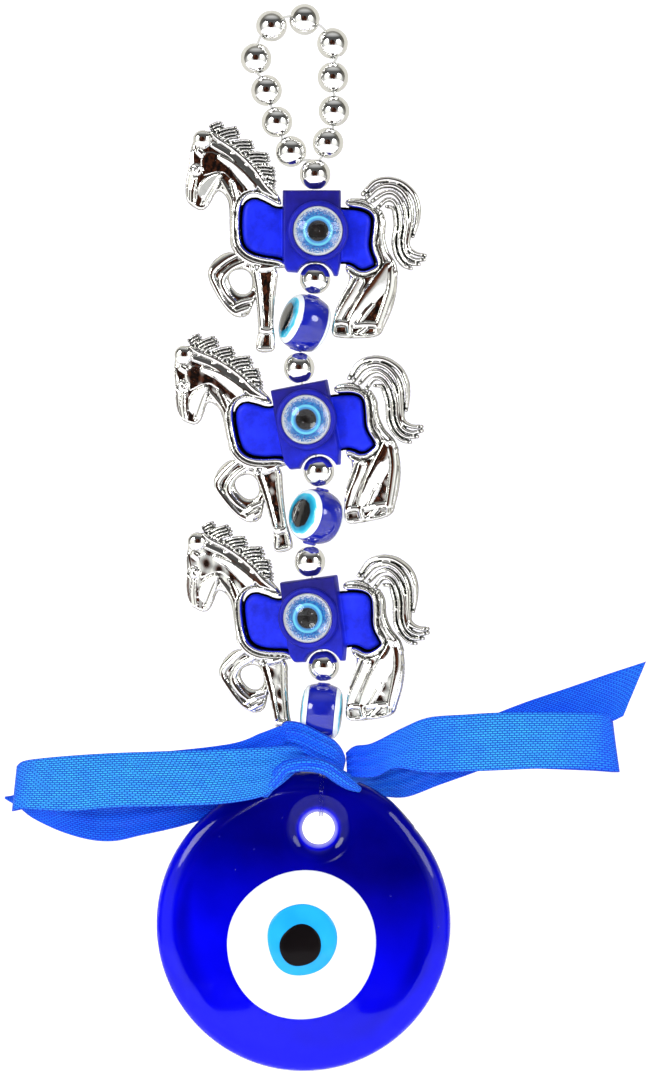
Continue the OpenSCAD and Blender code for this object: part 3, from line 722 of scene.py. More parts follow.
NECK_PLANE = Area([(-23.4, 15.0), (-21.7, 16.2), (-19.4, 15.1), (-17.9, 13.0), (-16.4, 10.9),
                   (-14.4, 8.2), (-15.4, 7.3), (-17.1, 10.3), (-18.3, 11.5), (-19.5, 12.1),
                   (-21.9, 11.5), (-23.3, 11.2)], 1)
GROOVES = [smooth_path(g, 6) for g in (
    [(-23.3, 5.4), (-22.2, 7.2), (-20.9, 9.2), (-19.6, 10.9)], [(-23.0, 5.9), (-23.0, 6.8)],
    [(-24.9, 12.9), (-24.3, 12.6), (-24.0, 12.0), (-23.6, 12.5)])]
POLL = ((-23.1, 18.5), 1.9)
EYE_BOSS = ((-24.3, 12.4), 1.25)

# The arch that leaves room for the round bead below, in the casting and in the insert
CAST_ARCH, INSERT_ARCH, ARCH_R = (-0.6, -10.05), (0.0, -9.95), 3.9
TRAY_DEPTH = 0.9
BACK_HEIGHT, TORSO_HEIGHT, BACK_LIMIT = 0.92, 1.55, 1.68
window = Area(WINDOW)
BODY_SHAPES = [Area(o) for o in (HEAD_NECK, RUMP, BELLY, GROIN, STRAIGHT_LEG, HIND)]
foreleg, foreleg_gap = Area(FORELEG), Area(FORELEG_GAP)
RELIEF_MID = 0.1
CELL = 0.16


def horse_depth(p):
    """Distance inside the casting's outline, with the torso's window filled."""
    (x, z), r = POLL
    a = np.arange(24) * math.pi / 12
    ball = Area(np.stack([x + r * np.cos(a), z + r * np.sin(a)], 1), 0)
    d = union_depth(p, BODY_SHAPES + [foreleg, ball, window] + MANE + TAIL)
    return np.minimum(np.minimum(d, -foreleg_gap.depth(p)), outside(p, CAST_ARCH, ARCH_R))


def horse_heights(p, d):
    """The casting's front and back above its mid plane. The torso is an open tray in front."""
    win = window.depth(p)
    rim_in = -win
    ridges = np.zeros(len(p))
    for ridge in LEG_RIDGES + TAIL + MANE + HEAD_RIDGES:
        ridges = np.maximum(ridges, ridge.ratio(p)[1])
    ripple = 0.05 * np.sin(1.7 * p[:, 0] + 0.6 * p[:, 1]) * np.sin(1.3 * p[:, 1] - 0.4 * p[:, 0])
    front = np.maximum((0.92 + ripple) * domed(d, 0.8), ridges)
    cheek = CHEEK.depth(p)
    tilt = 1.35 + 0.20 * (p[:, 0] + 21.9) + 0.13 * (p[:, 1] - 8.3)
    front = np.where(cheek > 0, np.maximum(tilt * domed(cheek + 0.1, 0.4), 0.8), front)
    neck = NECK_PLANE.depth(p)
    front = np.where(neck > 0, 1.0 + 0.8 * ripple, front)
    for ridge in HEAD_RIDGES[:2]:
        front = np.maximum(front, ridge.ratio(p)[1])
    for (cx, cz), r in (POLL, EYE_BOSS):
        q = np.hypot(p[:, 0] - cx, p[:, 1] - cz) / r
        ball = 0.65 + (1.15 if r > 1.5 else 0.75) * np.sqrt(np.clip(1 - q ** 2, 0, 1))
        front = np.where(q < 1, ball, front)
    for line in GROOVES:
        away = along(p, line)[0]
        front = front - 0.22 * np.exp(-(away / 0.15) ** 2)
    # The rolled rim round the torso, and a groove outside it
    ring = 1.1 + 0.6 * np.clip(1 - ((rim_in - 0.5) / 0.48) ** 2, 0, 1)
    front = np.where((rim_in > 0) & (rim_in < 0.98), ring, front)
    front = front * (1 - 0.4 * np.exp(-((rim_in - 1.12) / 0.13) ** 2))
    front *= domed(d + 0.02, 0.4)
    front = np.where(win > 0, -TRAY_DEPTH * domed(win, 0.3), front)
    # Behind: the same ridges at less height, with a smooth closed torso
    back = np.maximum(BACK_HEIGHT * domed(d, 0.8), 0.9 * ridges)
    torso = TORSO_HEIGHT * domed(win + 1.2, 2.6)
    back = np.maximum(back, np.where(win > -1.2, torso, 0)) * domed(d + 0.02, 0.4)
    # The third value is painted shadow: the tray floor and the inside of its rim, round the insert,
    # go dark
    return front, np.minimum(back, BACK_LIMIT), np.clip((win + 0.15) / 0.2, 0, 1)


def recess_shade(verts, faces):
    """How far below its neighbours each point of a mesh lies, from 0 to 1, for painted shade in the
    grooves.
    """
    edges = set()
    for f in faces:
        for a, b in zip(f, f[1:] + f[:1]):
            edges.add((min(a, b), max(a, b)))
    e = np.array(sorted(edges))
    height = np.abs(verts[:, 1])
    count = np.bincount(e.ravel(), minlength=len(verts))
    near = height.copy()
    for _ in range(4):
        total = np.bincount(e[:, 0], near[e[:, 1]], len(verts))
        total += np.bincount(e[:, 1], near[e[:, 0]], len(verts))
        near = total / np.maximum(count, 1)
    return np.clip((near - height - 0.03) / 0.16, 0, 1)


# ---------------------------------------------------------------- materials
# Discs and ribbons keep their own millimetres in their UV, at this much of it per mm
DISC_UV, RIBBON_UV = 0.05, 0.01


def chrome_material():
    """Bright plating with faint handling marks; painted shade darkens and dulls the grooves and the
    tray.
    """
    m, nt, bsdf = principled("chrome_relief", Metallic=1.0)
    low = attribute(nt, "shade")
    haze = object_noise(nt, 260.0)
    tone = mix(nt, haze, (0.90, 0.90, 0.86), (0.97, 0.97, 0.94))
    # Painted shade: the shade attribute turns the grooves and the tray round the insert nearly
    # black
    tone = mix(nt, low, tone, (0.030, 0.028, 0.020))
    rough = calc(nt, "MULTIPLY_ADD", haze, 0.07, 0.03)
    finish(nt, bsdf, tone, calc(nt, "MULTIPLY_ADD", low, 0.25, rough),
           object_noise(nt, 900.0, 2.0), 0.12, 0.04)
    return m


def bead_material():
    """Mirror plating over plastic: soft ripples and small scuffs."""
    m, nt, bsdf = principled("mirror_bead", Metallic=1.0)
    haze = object_noise(nt, 420.0)
    scuff = ramp(nt, object_noise(nt, 1500.0, 5.0, 0.7), [(0.60, 0.0), (0.72, 1.0)])
    finish(nt, bsdf, mix(nt, haze, (0.88, 0.88, 0.86), (0.96, 0.96, 0.94)),
           calc(nt, "MULTIPLY_ADD", scuff, 0.18, 0.07), haze, 0.22, 0.10)
    return m


def thread_material():
    m, nt, bsdf = principled("nylon_thread", Roughness=0.05, Transmission_Weight=1.0, IOR=1.12)
    wave = object_noise(nt, 2200.0, 2.0)
    finish(nt, bsdf, mix(nt, wave, (0.86, 0.88, 0.93), (0.97, 0.98, 1.0)), None, wave, 0.2, 0.05)
    return m


def frosted_material():
    """Frosted blue resin, deeper in colour where shade is high: the thick block, most towards its
    top, and the bezel.
    """
    m, nt, bsdf = principled("frosted_resin", IOR=1.45, Specular_IOR_Level=0.25)
    cloud = ramp(nt, object_noise(nt, 230.0, 5.0, 0.7), [(0.30, 0.0), (0.70, 1.0)])
    thin = mix(nt, cloud, (0.003, 0.010, 0.46), (0.010, 0.028, 0.92))
    thick = mix(nt, cloud, (0.005, 0.004, 0.11), (0.010, 0.008, 0.24))
    grain = object_noise(nt, 3200.0, 3.0, 0.6)
    finish(nt, bsdf, mix(nt, attribute(nt, "shade"), thin, thick),
           calc(nt, "MULTIPLY_ADD", grain, 0.2, 0.34), grain, 0.35, 0.05)
    return m


def disc_place(nt):
    """Place and radius on a disc, in mm from its centre."""
    uv = node(nt, "ShaderNodeUVMap", uv_map="UVMap").outputs[0]
    flat = vector(nt, "ADD", {0: uv, 1: (-0.5, -0.5, 0)})
    flat = vector(nt, "SCALE", {0: flat, "Scale": 1 / DISC_UV})
    return flat, vector(nt, "LENGTH", {0: flat}, "Value")


def print_material():
    """The printed eye: white, a blue ring that breaks into flecks, a light ring, a black pupil."""
    m, nt, bsdf = principled("eye_print", Roughness=0.5, Specular_IOR_Level=0.1)
    flat, radius = disc_place(nt)
    part = node(nt, "ShaderNodeSeparateXYZ", {0: flat}).outputs
    turn = calc(nt, "ARCTAN2", part[1], part[0])
    fan = node(nt, "ShaderNodeCombineXYZ", {0: calc(nt, "MULTIPLY", turn, 13.0),
                                            1: calc(nt, "MULTIPLY", radius, 4.5)}).outputs[0]
    fleck = noise(nt, 1.0, 3.0, 0.75, fan)
    # The flecks thin out from 2.8 mm to 4.5 mm from the centre
    share = calc(nt, "DIVIDE", radius, 5.0)
    cover = ramp(nt, share, [
        (0.56, 0.78), (0.65, 0.64), (0.76, 0.55), (0.85, 0.47), (0.90, 0.15)])
    inked = ramp(nt, calc(nt, "ADD", calc(nt, "SUBTRACT", cover, fleck), 0.5), [
        (0.48, 0.0), (0.53, 1.0)])
    tint = ramp(nt, noise(nt, 2.6, at=flat), [
        (0.4, (0.003, 0.09, 0.50)), (0.6, (0.015, 0.30, 0.72))])
    outer = mix(nt, inked, (0.97, 0.985, 1.0), tint)
    inner = ramp(nt, share, [
        (0.0, (0.006, 0.005, 0.005)), (0.375, (0.008, 0.007, 0.006)), (0.40, (0.06, 0.28, 0.70)),
        (0.455, (0.07, 0.40, 0.85)), (0.48, (0.16, 0.75, 0.97)), (0.545, (0.20, 0.80, 0.97)),
        (0.57, (0.01, 0.18, 0.60))])
    pick = calc(nt, "GREATER_THAN", radius, 2.85)
    finish(nt, bsdf, mix(nt, pick, inner, outer), calc(nt, "MULTIPLY_ADD", fleck, 0.2, 0.45))
    return m


def dome_material():
    m, nt, bsdf = principled("clear_dome", Base_Color=(0.97, 0.985, 1.0),
                             Transmission_Weight=1.0, IOR=1.40)
    finish(nt, bsdf, None, ramp(nt, object_noise(nt, 800.0), [(0.4, 0.015), (0.75, 0.06)]))
    return m


def bead_glass_material():
    m, nt, bsdf = principled("blue_bead_glass", Coat_Weight=0.6, IOR=1.5)
    swirl = object_noise(nt, 330.0, 3.0)
    finish(nt, bsdf, mix(nt, swirl, (0.004, 0.006, 0.23), (0.010, 0.022, 0.46)),
           calc(nt, "MULTIPLY_ADD", swirl, 0.1, 0.05), swirl, 0.3, 0.15)
    return m


def bead_eye_material():
    """Fused rings on a flat bead: white, turquoise and a black pupil, with wavering edges."""
    m, nt, bsdf = principled("bead_eye_glass", Coat_Weight=0.6, IOR=1.5, Roughness=0.07)
    flat, radius = disc_place(nt)
    waver = noise(nt, 0.45, 1.0, at=flat)
    r = calc(nt, "MULTIPLY_ADD", calc(nt, "SUBTRACT", waver, 0.5), 0.7, radius)
    rings = ramp(nt, calc(nt, "DIVIDE", r, 6.0), [
        (0.0, (0.004, 0.004, 0.005)), (0.465, (0.006, 0.006, 0.008)), (0.50, (0.01, 0.20, 0.36)),
        (0.60, (0.01, 0.36, 0.58)), (0.70, (0.06, 0.60, 0.80)), (0.725, (0.88, 0.95, 0.97)),
        (1.0, (0.80, 0.90, 0.95))])
    finish(nt, bsdf, rings, None, waver, 0.25, 0.2)
    return m


def disc_glass_material():
    """Cobalt glass with seeds and slow waves, and a painted glow at its edge and round its hole."""
    m, nt, bsdf = principled("cobalt_glass", Transmission_Weight=0.2, IOR=1.5,
                             Specular_IOR_Level=0.14)
    wave = object_noise(nt, 55.0, 2.0)
    # shade 1 is the darker glass towards the tab
    cloudy = ramp(nt, object_noise(nt, 38.0, 3.0, 0.55), [(0.35, 0.0), (0.65, 1.0)])
    deep = mix(nt, cloudy, (0.0, 0.0, 0.15), (0.001, 0.001, 0.27))
    clear = mix(nt, cloudy, (0.001, 0.001, 0.72), (0.002, 0.002, 1.0))
    shade = attribute(nt, "shade")
    base = mix(nt, calc(nt, "MAXIMUM", shade, 0.0), clear, deep)
    # below 0 is a painted glow of pale light in the thin glass round the hole
    base = mix(nt, calc(nt, "MAXIMUM", calc(nt, "MULTIPLY", shade, -1.0), 0.0), base,
               (0.42, 0.42, 1.0))
    co = node(nt, "ShaderNodeTexCoord").outputs["Object"]
    seed = node(nt, "ShaderNodeTexVoronoi", {"Vector": co, "Scale": 230.0}).outputs["Distance"]
    seeds = ramp(nt, seed, [(0.035, 1.0), (0.06, 0.0)])
    finish(nt, bsdf, mix(nt, calc(nt, "MULTIPLY", seeds, 0.6), base, (0.01, 0.01, 0.35)),
           calc(nt, "MULTIPLY_ADD", wave, 0.06, 0.02),
           calc(nt, "ADD", wave, calc(nt, "MULTIPLY", seeds, 0.15)), 0.35, 0.5)
    return m


def fused_glass(name, dark, light, scale=120.0, gloss=0.5):
    m, nt, bsdf = principled(name, IOR=1.5, Coat_Weight=0.5 * gloss, Specular_IOR_Level=gloss)
    cloud = object_noise(nt, scale, 3.0)
    finish(nt, bsdf, mix(nt, cloud, dark, light), calc(nt, "MULTIPLY_ADD", cloud, 0.12, 0.06),
           cloud, 0.2, 0.2)
    return m


MAT_CHROME = chrome_material()
MAT_BEAD = bead_material()
MAT_THREAD = thread_material()
MAT_FROSTED = frosted_material()
MAT_PRINT = print_material()
MAT_DOME = dome_material()
MAT_BEAD_GLASS = bead_glass_material()
MAT_BEAD_EYE = bead_eye_material()
MAT_GLASS = disc_glass_material()
MAT_WHITE = fused_glass("white_glass", (0.80, 0.84, 0.90), (0.90, 0.93, 0.96))
MAT_IRIS = fused_glass("light_blue_glass", (0.006, 0.28, 0.74), (0.025, 0.47, 0.93), 160.0,
                        gloss=0.2)
MAT_PUPIL = fused_glass("black_glass", (0.002, 0.002, 0.003), (0.008, 0.006, 0.006), gloss=0.06)

# ---------------------------------------------------------------- places from the frame
joints = {j["name"]: j for j in frame["joints"]}


def centre(name):
    """Middle of a CAD node's box, in mm."""
    lo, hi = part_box(name)
    return (np.array(lo) + np.array(hi)) / 2 / MM


def pivot(name):
    return np.array(joints[name]["pos_m"]) / MM


def lean(name):
    """Lean of a thread from its joint's axis, clockwise from the front, in degrees."""
    axis = joints[name]["axis"]
    return math.degrees(math.atan2(axis[0], axis[2]))


def facing_front(p):
    """Turns lathe points so that their axis faces the front."""
    return np.stack([p[:, 0], -p[:, 2], p[:, 1]], 1)


def disc_uv(p):
    """UV of a disc from its own x and z in mm."""
    return np.stack([p[:, 0], p[:, 2]], 1) * DISC_UV + 0.5


# ---------------------------------------------------------------- round beads and thread
BEAD_R = 3.1
BORE_R, MOUTH_R = 0.8, 1.02
STRAND_R = 0.19
TWIST_MM = 14.0  # half a turn of the doubled thread


def bead_mesh():
    """A ball with a straight bore and a slightly rounded mouth at each end."""
    start = math.asin(MOUTH_R / BEAD_R)
    arc = np.linspace(-math.pi / 2 + start, math.pi / 2 - start, 33)
    profile = [(BEAD_R * math.cos(a), BEAD_R * math.sin(a)) for a in arc]
    mouth = [(0.90, 2.93), (BORE_R, 2.82)]
    sides = 56
    verts, faces = lathe([(r, -h) for r, h in mouth[::-1]] + profile + mouth, sides)
    n = len(verts) - sides
    faces += [(n + i, n + (i + 1) % sides, (i + 1) % sides, i) for i in range(sides)]
    return verts, faces


BEAD = bead_mesh()


def round_bead(name, body, along):
    """A bead whose hole leans by along degrees in the plane of the ornament."""
    turn = math.degrees(rng.uniform(0, 2 * math.pi))
    verts = rot_y(rot_z(BEAD[0], turn), along) + centre(name)
    piece(name + "_bead", body, verts, BEAD[1], MAT_BEAD, replaces=[name])


def beads_and_thread():
    names = ["loop_bead_%d" % i for i in range(1, 11)]
    places = [centre(n) for n in names]
    foot = centre("collector_bead")
    ring = [foot + [0, 0, BEAD_R]] + places + [foot + [0, 0, BEAD_R]]
    ways = [b - a for a, b in zip(ring, ring[2:])]
    for name, d in zip(names, ways):
        round_bead(name, "loop", math.degrees(math.atan2(d[0], d[2])))
    round_bead("collector_bead", "loop", 0.0)
    for i, k in enumerate((1, 2, 2, 3, 3)):
        round_bead("spacer_bead_%d" % (i + 1), "strand_%d" % k, lean("spin_%d" % k))
    # The loop's thread: through each bead, and down through the collector beside itself
    route = [foot + [-0.35, 0, -2.7], foot + [-0.35, 0, 1.0], foot + [-0.8, 0, 2.75]]
    for p, d in zip(places, ways):
        d = d / np.linalg.norm(d) * 2.4
        route += [p - d, p, p + d]
    route += [foot + [0.8, 0, 2.7], foot + [0.35, 0, 1.0], foot + [0.35, 0, -2.7]]
    verts, faces = tube(smooth_path(route, 5), 0.24, 10)
    piece("loop_thread", "loop", verts, faces, MAT_THREAD,
          replaces=["thread_loop"])
    knot_top = centre("bow_knot") + [0, 0, 1.5]
    for k in (1, 2, 3):
        bend = pivot("fold_%d" % k)
        low = pivot("swing_%d" % (k + 1)) if k < 3 else knot_top
        doubled_thread("strand_%d" % k, pivot("swing_%d" % k), bend)
        doubled_thread("link_%d" % k, bend, low)


def doubled_thread(body, a, b):
    """Two strands laid side by side with a slow twist."""
    d = b - a
    t = np.linspace(0.012, 0.988, 24)[:, None]
    spine = a + d * t
    across = np.cross(d / np.linalg.norm(d), [0.0, 1.0, 0.0])
    angle = t * math.pi * np.linalg.norm(d) / TWIST_MM
    off = STRAND_R * (np.cos(angle) * across + np.sin(angle) * np.array([[0.0, 1.0, 0.0]]))
    verts, faces = joined(tube(spine + off, STRAND_R, 8), tube(spine - off, STRAND_R, 8))
    piece("thread_%s_strands" % body, body, verts, faces, MAT_THREAD,
          replaces=["thread_" + body])


# ---------------------------------------------------------------- horses
HORSE_TURN = (0.0, -8.0, -12.0)
CAST_AT = ((0.6, 0.0), (0.6, 0.2), (0.6, 0.1))
EYE_AT = ((0.6, 0.0), (-0.1, 1.2), (-1.2, 0.6))
BLOCK = [(-6.5, 8.4), (5.2, 8.4), (5.2, -6.2), (4.6, -8.9), (-5.6, -8.0), (-6.5, -6.4)]
BLOCK_HEIGHT, PANE_HEIGHT, PANE_CROWN, INSERT_BACK = 2.8, 0.78, 0.18, 0.75
PANE_GAP = 0.42  # between the insert's pane and the tray's rim
SADDLE_MID = 0.2


def to_world(k, p):
    """Horse k's own points (x, y, z) to the ornament's frame."""
    return rot_y(rot_z(p, HORSE_TURN[k - 1]), lean("spin_%d" % k)) + pivot("spin_%d" % k)


def eased(outline, r):
    """An outline with a point r before and after each corner, so that rounding stays small."""
    p = np.asarray(outline, float)
    back, ahead = np.roll(p, 1, 0) - p, np.roll(p, -1, 0) - p
    back /= np.hypot(*back.T)[:, None]
    ahead /= np.hypot(*ahead.T)[:, None]
    return np.stack([p + back * r, p, p + ahead * r], 1).reshape(-1, 2)


def saddle_mesh(cast_at):
    """The blue insert: a thin pane in the tray, and the raised block."""
    block = Area(eased(BLOCK, 0.7), 2)
    shift = np.array(cast_at)

    def depth(p):
        pane = window.depth(p - shift) - PANE_GAP
        return np.minimum(np.maximum(pane, block.depth(p)), outside(p, INSERT_ARCH, ARCH_R))

    def heights(p, d):
        pane = window.depth(p - shift) - PANE_GAP
        raised = block.depth(p)
        flat = PANE_HEIGHT * domed(pane, 1.1) + PANE_CROWN * domed(pane, 5.0)
        front = np.where(pane > 0, flat, 0)
        step = BLOCK_HEIGHT * domed(raised + 0.1, 0.5) * domed(d + 0.02, 0.55)
        front = np.maximum(front, np.where(raised > -0.1, step, 0))
        back = INSERT_BACK * domed(d, 0.3)
        # The block's colour is deepest at its top and fades towards its bottom
        deep = np.clip(0.75 + 0.04 * p[:, 1], 0.5, 1)
        return front, back, np.clip(raised / 0.25 + 0.5, 0, 1) * deep

    v, f, shade = relief(depth, heights, (-16.5, -9.5), (13.0, 8.8), CELL)
    v[:, 1] += SADDLE_MID
    return v, f, shade


BEZEL = [
    (0.0, 2.3), (6.02, 2.3), (6.08, 2.5), (6.08, 3.3), (6.0, 3.6), (5.82, 3.82), (5.6, 3.9),
    (5.32, 3.9), (5.1, 3.82), (4.98, 3.66), (4.95, 3.3), (4.95, 3.0), (0.0, 3.0)]
PRINT = [
    (0.0, 3.02), (4.88, 3.02), (4.9, 3.05), (4.9, 3.13), (4.86, 3.16), (2.4, 3.16), (0.0, 3.16)]
DOME_R, DOME_RISE, DOME_TOP = 4.9, 1.5, 5.5


def dome_profile():
    cap_r = (DOME_R ** 2 + DOME_RISE ** 2) / (2 * DOME_RISE)
    arc = [(r, DOME_TOP - cap_r + math.sqrt(cap_r ** 2 - r * r)) for r in np.linspace(4.82, 0, 20)]
    return [(0.0, 3.2), (4.8, 3.2), (4.88, 3.28), (DOME_R, 3.9)] + arc


def horses():
    v, f, tray = relief(horse_depth, horse_heights, (-27.4, -25.0), (22.6, 22.6), CELL)
    # tray is painted shadow in the gap round the insert; only the front gets it
    tray[v[:, 1] > 1.0] = 0  # the torso's back is bright
    shade = np.maximum(recess_shade(v, f), tray)
    v[:, 1] += RELIEF_MID
    for k in (1, 2, 3):
        body = "horse_%d" % k
        cx, cz = CAST_AT[k - 1]
        piece(body + "_relief", body, to_world(k, v + [cx, 0, cz]), f,
              MAT_CHROME, shade=shade, replaces=[body + "_casting"])
        sv, sf, sshade = saddle_mesh((cx, cz))
        piece(body + "_insert", body, to_world(k, sv), sf, MAT_FROSTED,
              shade=sshade, replaces=[body + "_saddle"])
        ex, ez = EYE_AT[k - 1]
        for name, profile, slot, mat, node_name in (
                ("_bezel", BEZEL, "frosted_blue", MAT_FROSTED, None),
                ("_print", PRINT, "printed_eye", MAT_PRINT, "_eye_print"),
                ("_dome", dome_profile(), "clear_dome", MAT_DOME, "_eye_dome")):
            pv, pf = lathe(profile, 72)
            own = facing_front(pv)
            piece(body + name, body, to_world(k, own + [ex, 0, ez]), pf, mat,
                  uv=disc_uv(own), shade=np.full(len(own), 0.7),
                  replaces=[body + node_name] if node_name else ())


# ---------------------------------------------------------------- flat eye beads
FLAT_TURN = (68.0, 50.0, -88.0)
FLAT_R, FLAT_FACE, EYE_R = 5.7, 2.75, 5.15
FLAT_SIZE = (1.0, 0.968, 1.0)  # the middle one is the smallest, and clears the hind leg


def flat_body_profile():
    """A flat-faced disc whose edge is one arc."""
    edge = FLAT_R - EYE_R
    arc_r = (FLAT_FACE ** 2 + edge ** 2) / (2 * edge)
    reach = math.asin(FLAT_FACE / arc_r)
    arc = [(FLAT_R - arc_r + arc_r * math.cos(a), arc_r * math.sin(a))
           for a in np.linspace(-reach, reach, 21)]
    return [(0.0, -FLAT_FACE)] + arc + [(0.0, FLAT_FACE)]


EYE_PROFILE = [
    (0.0, 2.5), (5.0, 2.5), (5.12, 2.66), (5.12, 2.85), (4.98, 3.12), (4.66, 3.42), (4.36, 3.59),
    (4.2, 3.68), (4.08, 3.77), (3.7, 3.88), (3.24, 3.97), (2.98, 4.02), (2.84, 4.08), (2.3, 4.13),
    (1.2, 4.18), (0.0, 4.2)]
COLLAR = [(0.45, 5.0), (1.35, 5.0), (1.42, 5.2), (1.38, 5.45), (1.25, 5.55), (1.3, 5.62),
          (1.22, 5.74), (1.0, 5.8), (0.6, 5.8), (0.45, 5.7)]
OVER = [1, -1, -1]  # turns a lathe's points upside down


def flat_beads():
    for k, turn, size in zip((1, 2, 3), FLAT_TURN, FLAT_SIZE):
        body, joint = "eye_bead_%d" % k, "bead_turn_%d" % k

        def stood(p):
            return rot_y(p, lean(joint)) + pivot(joint)

        def place(p):
            return stood(rot_z(facing_front(p * size), -turn))

        v, f = lathe(flat_body_profile(), 96)
        piece(body + "_glass", body, place(v), f, MAT_BEAD_GLASS,
              replaces=[body])
        v, f = lathe(EYE_PROFILE, 96)
        both, faces = joined((v, f), (v * OVER, f))
        uv = np.concatenate([v[:, :2], v[:, :2]]) * DISC_UV + 0.5
        piece(body + "_rings", body, place(both), faces, MAT_BEAD_EYE,
              uv=uv, replaces=[body + "_eyes"])
        v, f = lathe(COLLAR + COLLAR[:1], 40)
        both, faces = joined((v, f), (v * OVER, f))
        piece(body + "_collars", body, stood(both), faces, MAT_BEAD_GLASS)


# ---------------------------------------------------------------- glass disc
DISC_AT, DISC_LEAN, DISC_R = np.array([0.1, -177.1]), 9.0, 29.4
HOLE_AT, HOLE_R = np.array([3.1, -157.9]), 3.2
TAB = [(-14, 24), (-7.5, 27.8), (-4.4, 29.4), (4.4, 29.4), (7.5, 27.8), (14, 24), (10, 16),
       (-10, 16)]
TAB_MIDDLE, TAB_REACH = 24, 12
FILLET, FILLET_MOST = 2.2, 1.1  # rounded meeting of the tab and the disc
EDGE_THICK, MIDDLE_THICK, EDGE_ROUND = 2.55, 0.5, 4.4


def glass_disc():
    """The glass with its tab and hole, and the three layers fused on its front."""
    tab = Area(TAB, 2)
    c, s = math.cos(math.radians(DISC_LEAN)), math.sin(math.radians(DISC_LEAN))

    def own(p):
        q = p - DISC_AT
        return np.stack([q[:, 0] * c - q[:, 1] * s, q[:, 0] * s + q[:, 1] * c], 1)

    def depth(p):
        q = own(p)
        rim = DISC_R - np.hypot(q[:, 0], q[:, 1])
        near = np.abs(q[:, 1] - TAB_MIDDLE) < TAB_REACH
        tongue = np.full(len(p), -9.0)
        tongue[near] = tab.depth(q[near])
        both = np.stack([rim, tongue], 1)
        soft = FILLET * np.log(np.exp(both / FILLET).sum(1))
        deepest = both.max(1)
        blend = np.minimum(np.where((both > -6).all(1), soft, deepest), deepest + FILLET_MOST)
        return np.minimum(blend, outside(p, HOLE_AT, HOLE_R))

    def heights(p, d):
        q = own(p)
        r = np.hypot(q[:, 0], q[:, 1])
        front = (EDGE_THICK + MIDDLE_THICK * np.clip(1 - (r / 29.0) ** 2, 0, 1))
        front = front * domed(d, EDGE_ROUND)
        # Darker towards the tab and in a crescent inside each edge, bright low down, with a painted
        # glow along the rim
        up = q[:, 1]
        dark = np.clip((up + 5.0) / 20.0, 0.0, 1.0)
        crescent = 0.6 * np.exp(-((r - 24.2) / 2.0) ** 2) * np.clip(1.2 + up / 20, 0, 1)
        # Painted light: a glow along the rim, strongest low down
        rim_light = np.exp(-((r - DISC_R) / 1.7) ** 2) * (r > 20)
        right = 0.7 * np.clip(q[:, 0] / 16.0, 0, 1) * np.clip(1 - r / 27.0, 0, 1)
        dark = np.clip(np.maximum(dark, crescent) + right, 0, 1)
        dark = dark * (1 - 0.8 * rim_light * np.clip(1.6 - up / 16.0, 0, 1))
        # Painted light: a pale glow in the thin glass round the hole, carried as shade below 0
        thin = np.clip(1.15 - outside(p, HOLE_AT, HOLE_R) / 1.3, 0, 1)
        return front, front.copy(), np.clip(dark, 0, 1) * (1 - thin) - thin

    cell = 0.35
    v, f, shade = relief(depth, heights, DISC_AT - 30.2, DISC_AT + 31.0, cell)
    piece("glass_eye_disc", "glass", v, f, MAT_GLASS, shade=shade,
          replaces=["glass_disc"])
    # Middle, radii across and up, back face and rise towards the front, waver of the edge
    for part, slot, mat, *form in (
            ("white", "white_glass", MAT_WHITE, (-0.2, -181.0), 14.9, 14.9, 2.8, 1.0, 0.012),
            ("iris", "light_blue_glass", MAT_IRIS, (-0.2, -179.9), 6.8, 7.4, 3.55, 0.65, 0.03),
            ("pupil", "black_glass", MAT_PUPIL, (-0.5, -181.0), 4.1, 4.2, 4.05, 0.55, 0.03)):
        v, f = fused_layer(*form)
        piece("disc_" + part, "glass", v, f, mat, replaces=["glass_" + part])


def fused_layer(at, rx, rz, back, rise, wob):
    """A thin lens of glass with a rounded, slightly uneven edge."""
    phase = rng.uniform(0, 2 * math.pi, 4)
    # Share of the radius and of the rise, from the back's middle round the edge to the front's
    rings = [(0, 0), (0.985, 0.0), (1.0, 0.12), (1.0, 0.3), (0.985, 0.48), (0.95, 0.62),
             (0.88, 0.72)]
    rings += [(r, 0.72 + 0.28 * (1 - (r / 0.88) ** 2)) for r in (0.7, 0.5, 0.3, 0.12)]
    v, faces = lathe(rings + [(0, 1)], 96)
    a = np.arctan2(v[:, 1], v[:, 0])
    uneven = 1 + wob * sum(np.sin((k + 2) * a + phase[k]) / (k + 1) for k in range(4))
    return np.stack([at[0] + rx * uneven * v[:, 0], -back - rise * v[:, 2],
                     at[1] + rz * uneven * v[:, 1]], 1), faces


def glass_thread():
    """Two strands from the knot down the front, through the hole and up the back."""
    lo, hi = (np.array(c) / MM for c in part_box("thread_glass"))
    x, inset = (lo[0] + hi[0]) / 2, 0.25
    top, seat, side = hi[2] - inset, lo[2] + inset, hi[1] - inset
    front = [(x + 0.07, -1.3, top + 0.3), (x + 0.07, -0.9 * side, top - 0.2),
             (x + 0.07, -side, top - 2.0), (x - 0.07, -side, seat + 2.0),
             (x - 0.07, -0.9 * side, seat + 0.2)]
    back = [(px, -py, pz) for px, py, pz in front[::-1]]
    path = smooth_path(front + [(x - 0.07, 0, seat)] + back, 6)
    verts, faces = joined(tube(path + [0.24, 0, 0], 0.2, 8), tube(path - [0.24, 0, 0], 0.2, 8))
    piece("disc_thread", "glass_loop", verts, faces, MAT_THREAD,
          replaces=["thread_glass"])


# ---------------------------------------------------------------- ribbon bow
RIBBON_WIDTH, RIBBON_T = 12.0, 0.32
BOUND_EDGE = 0.045  # share of the width that each bound edge takes
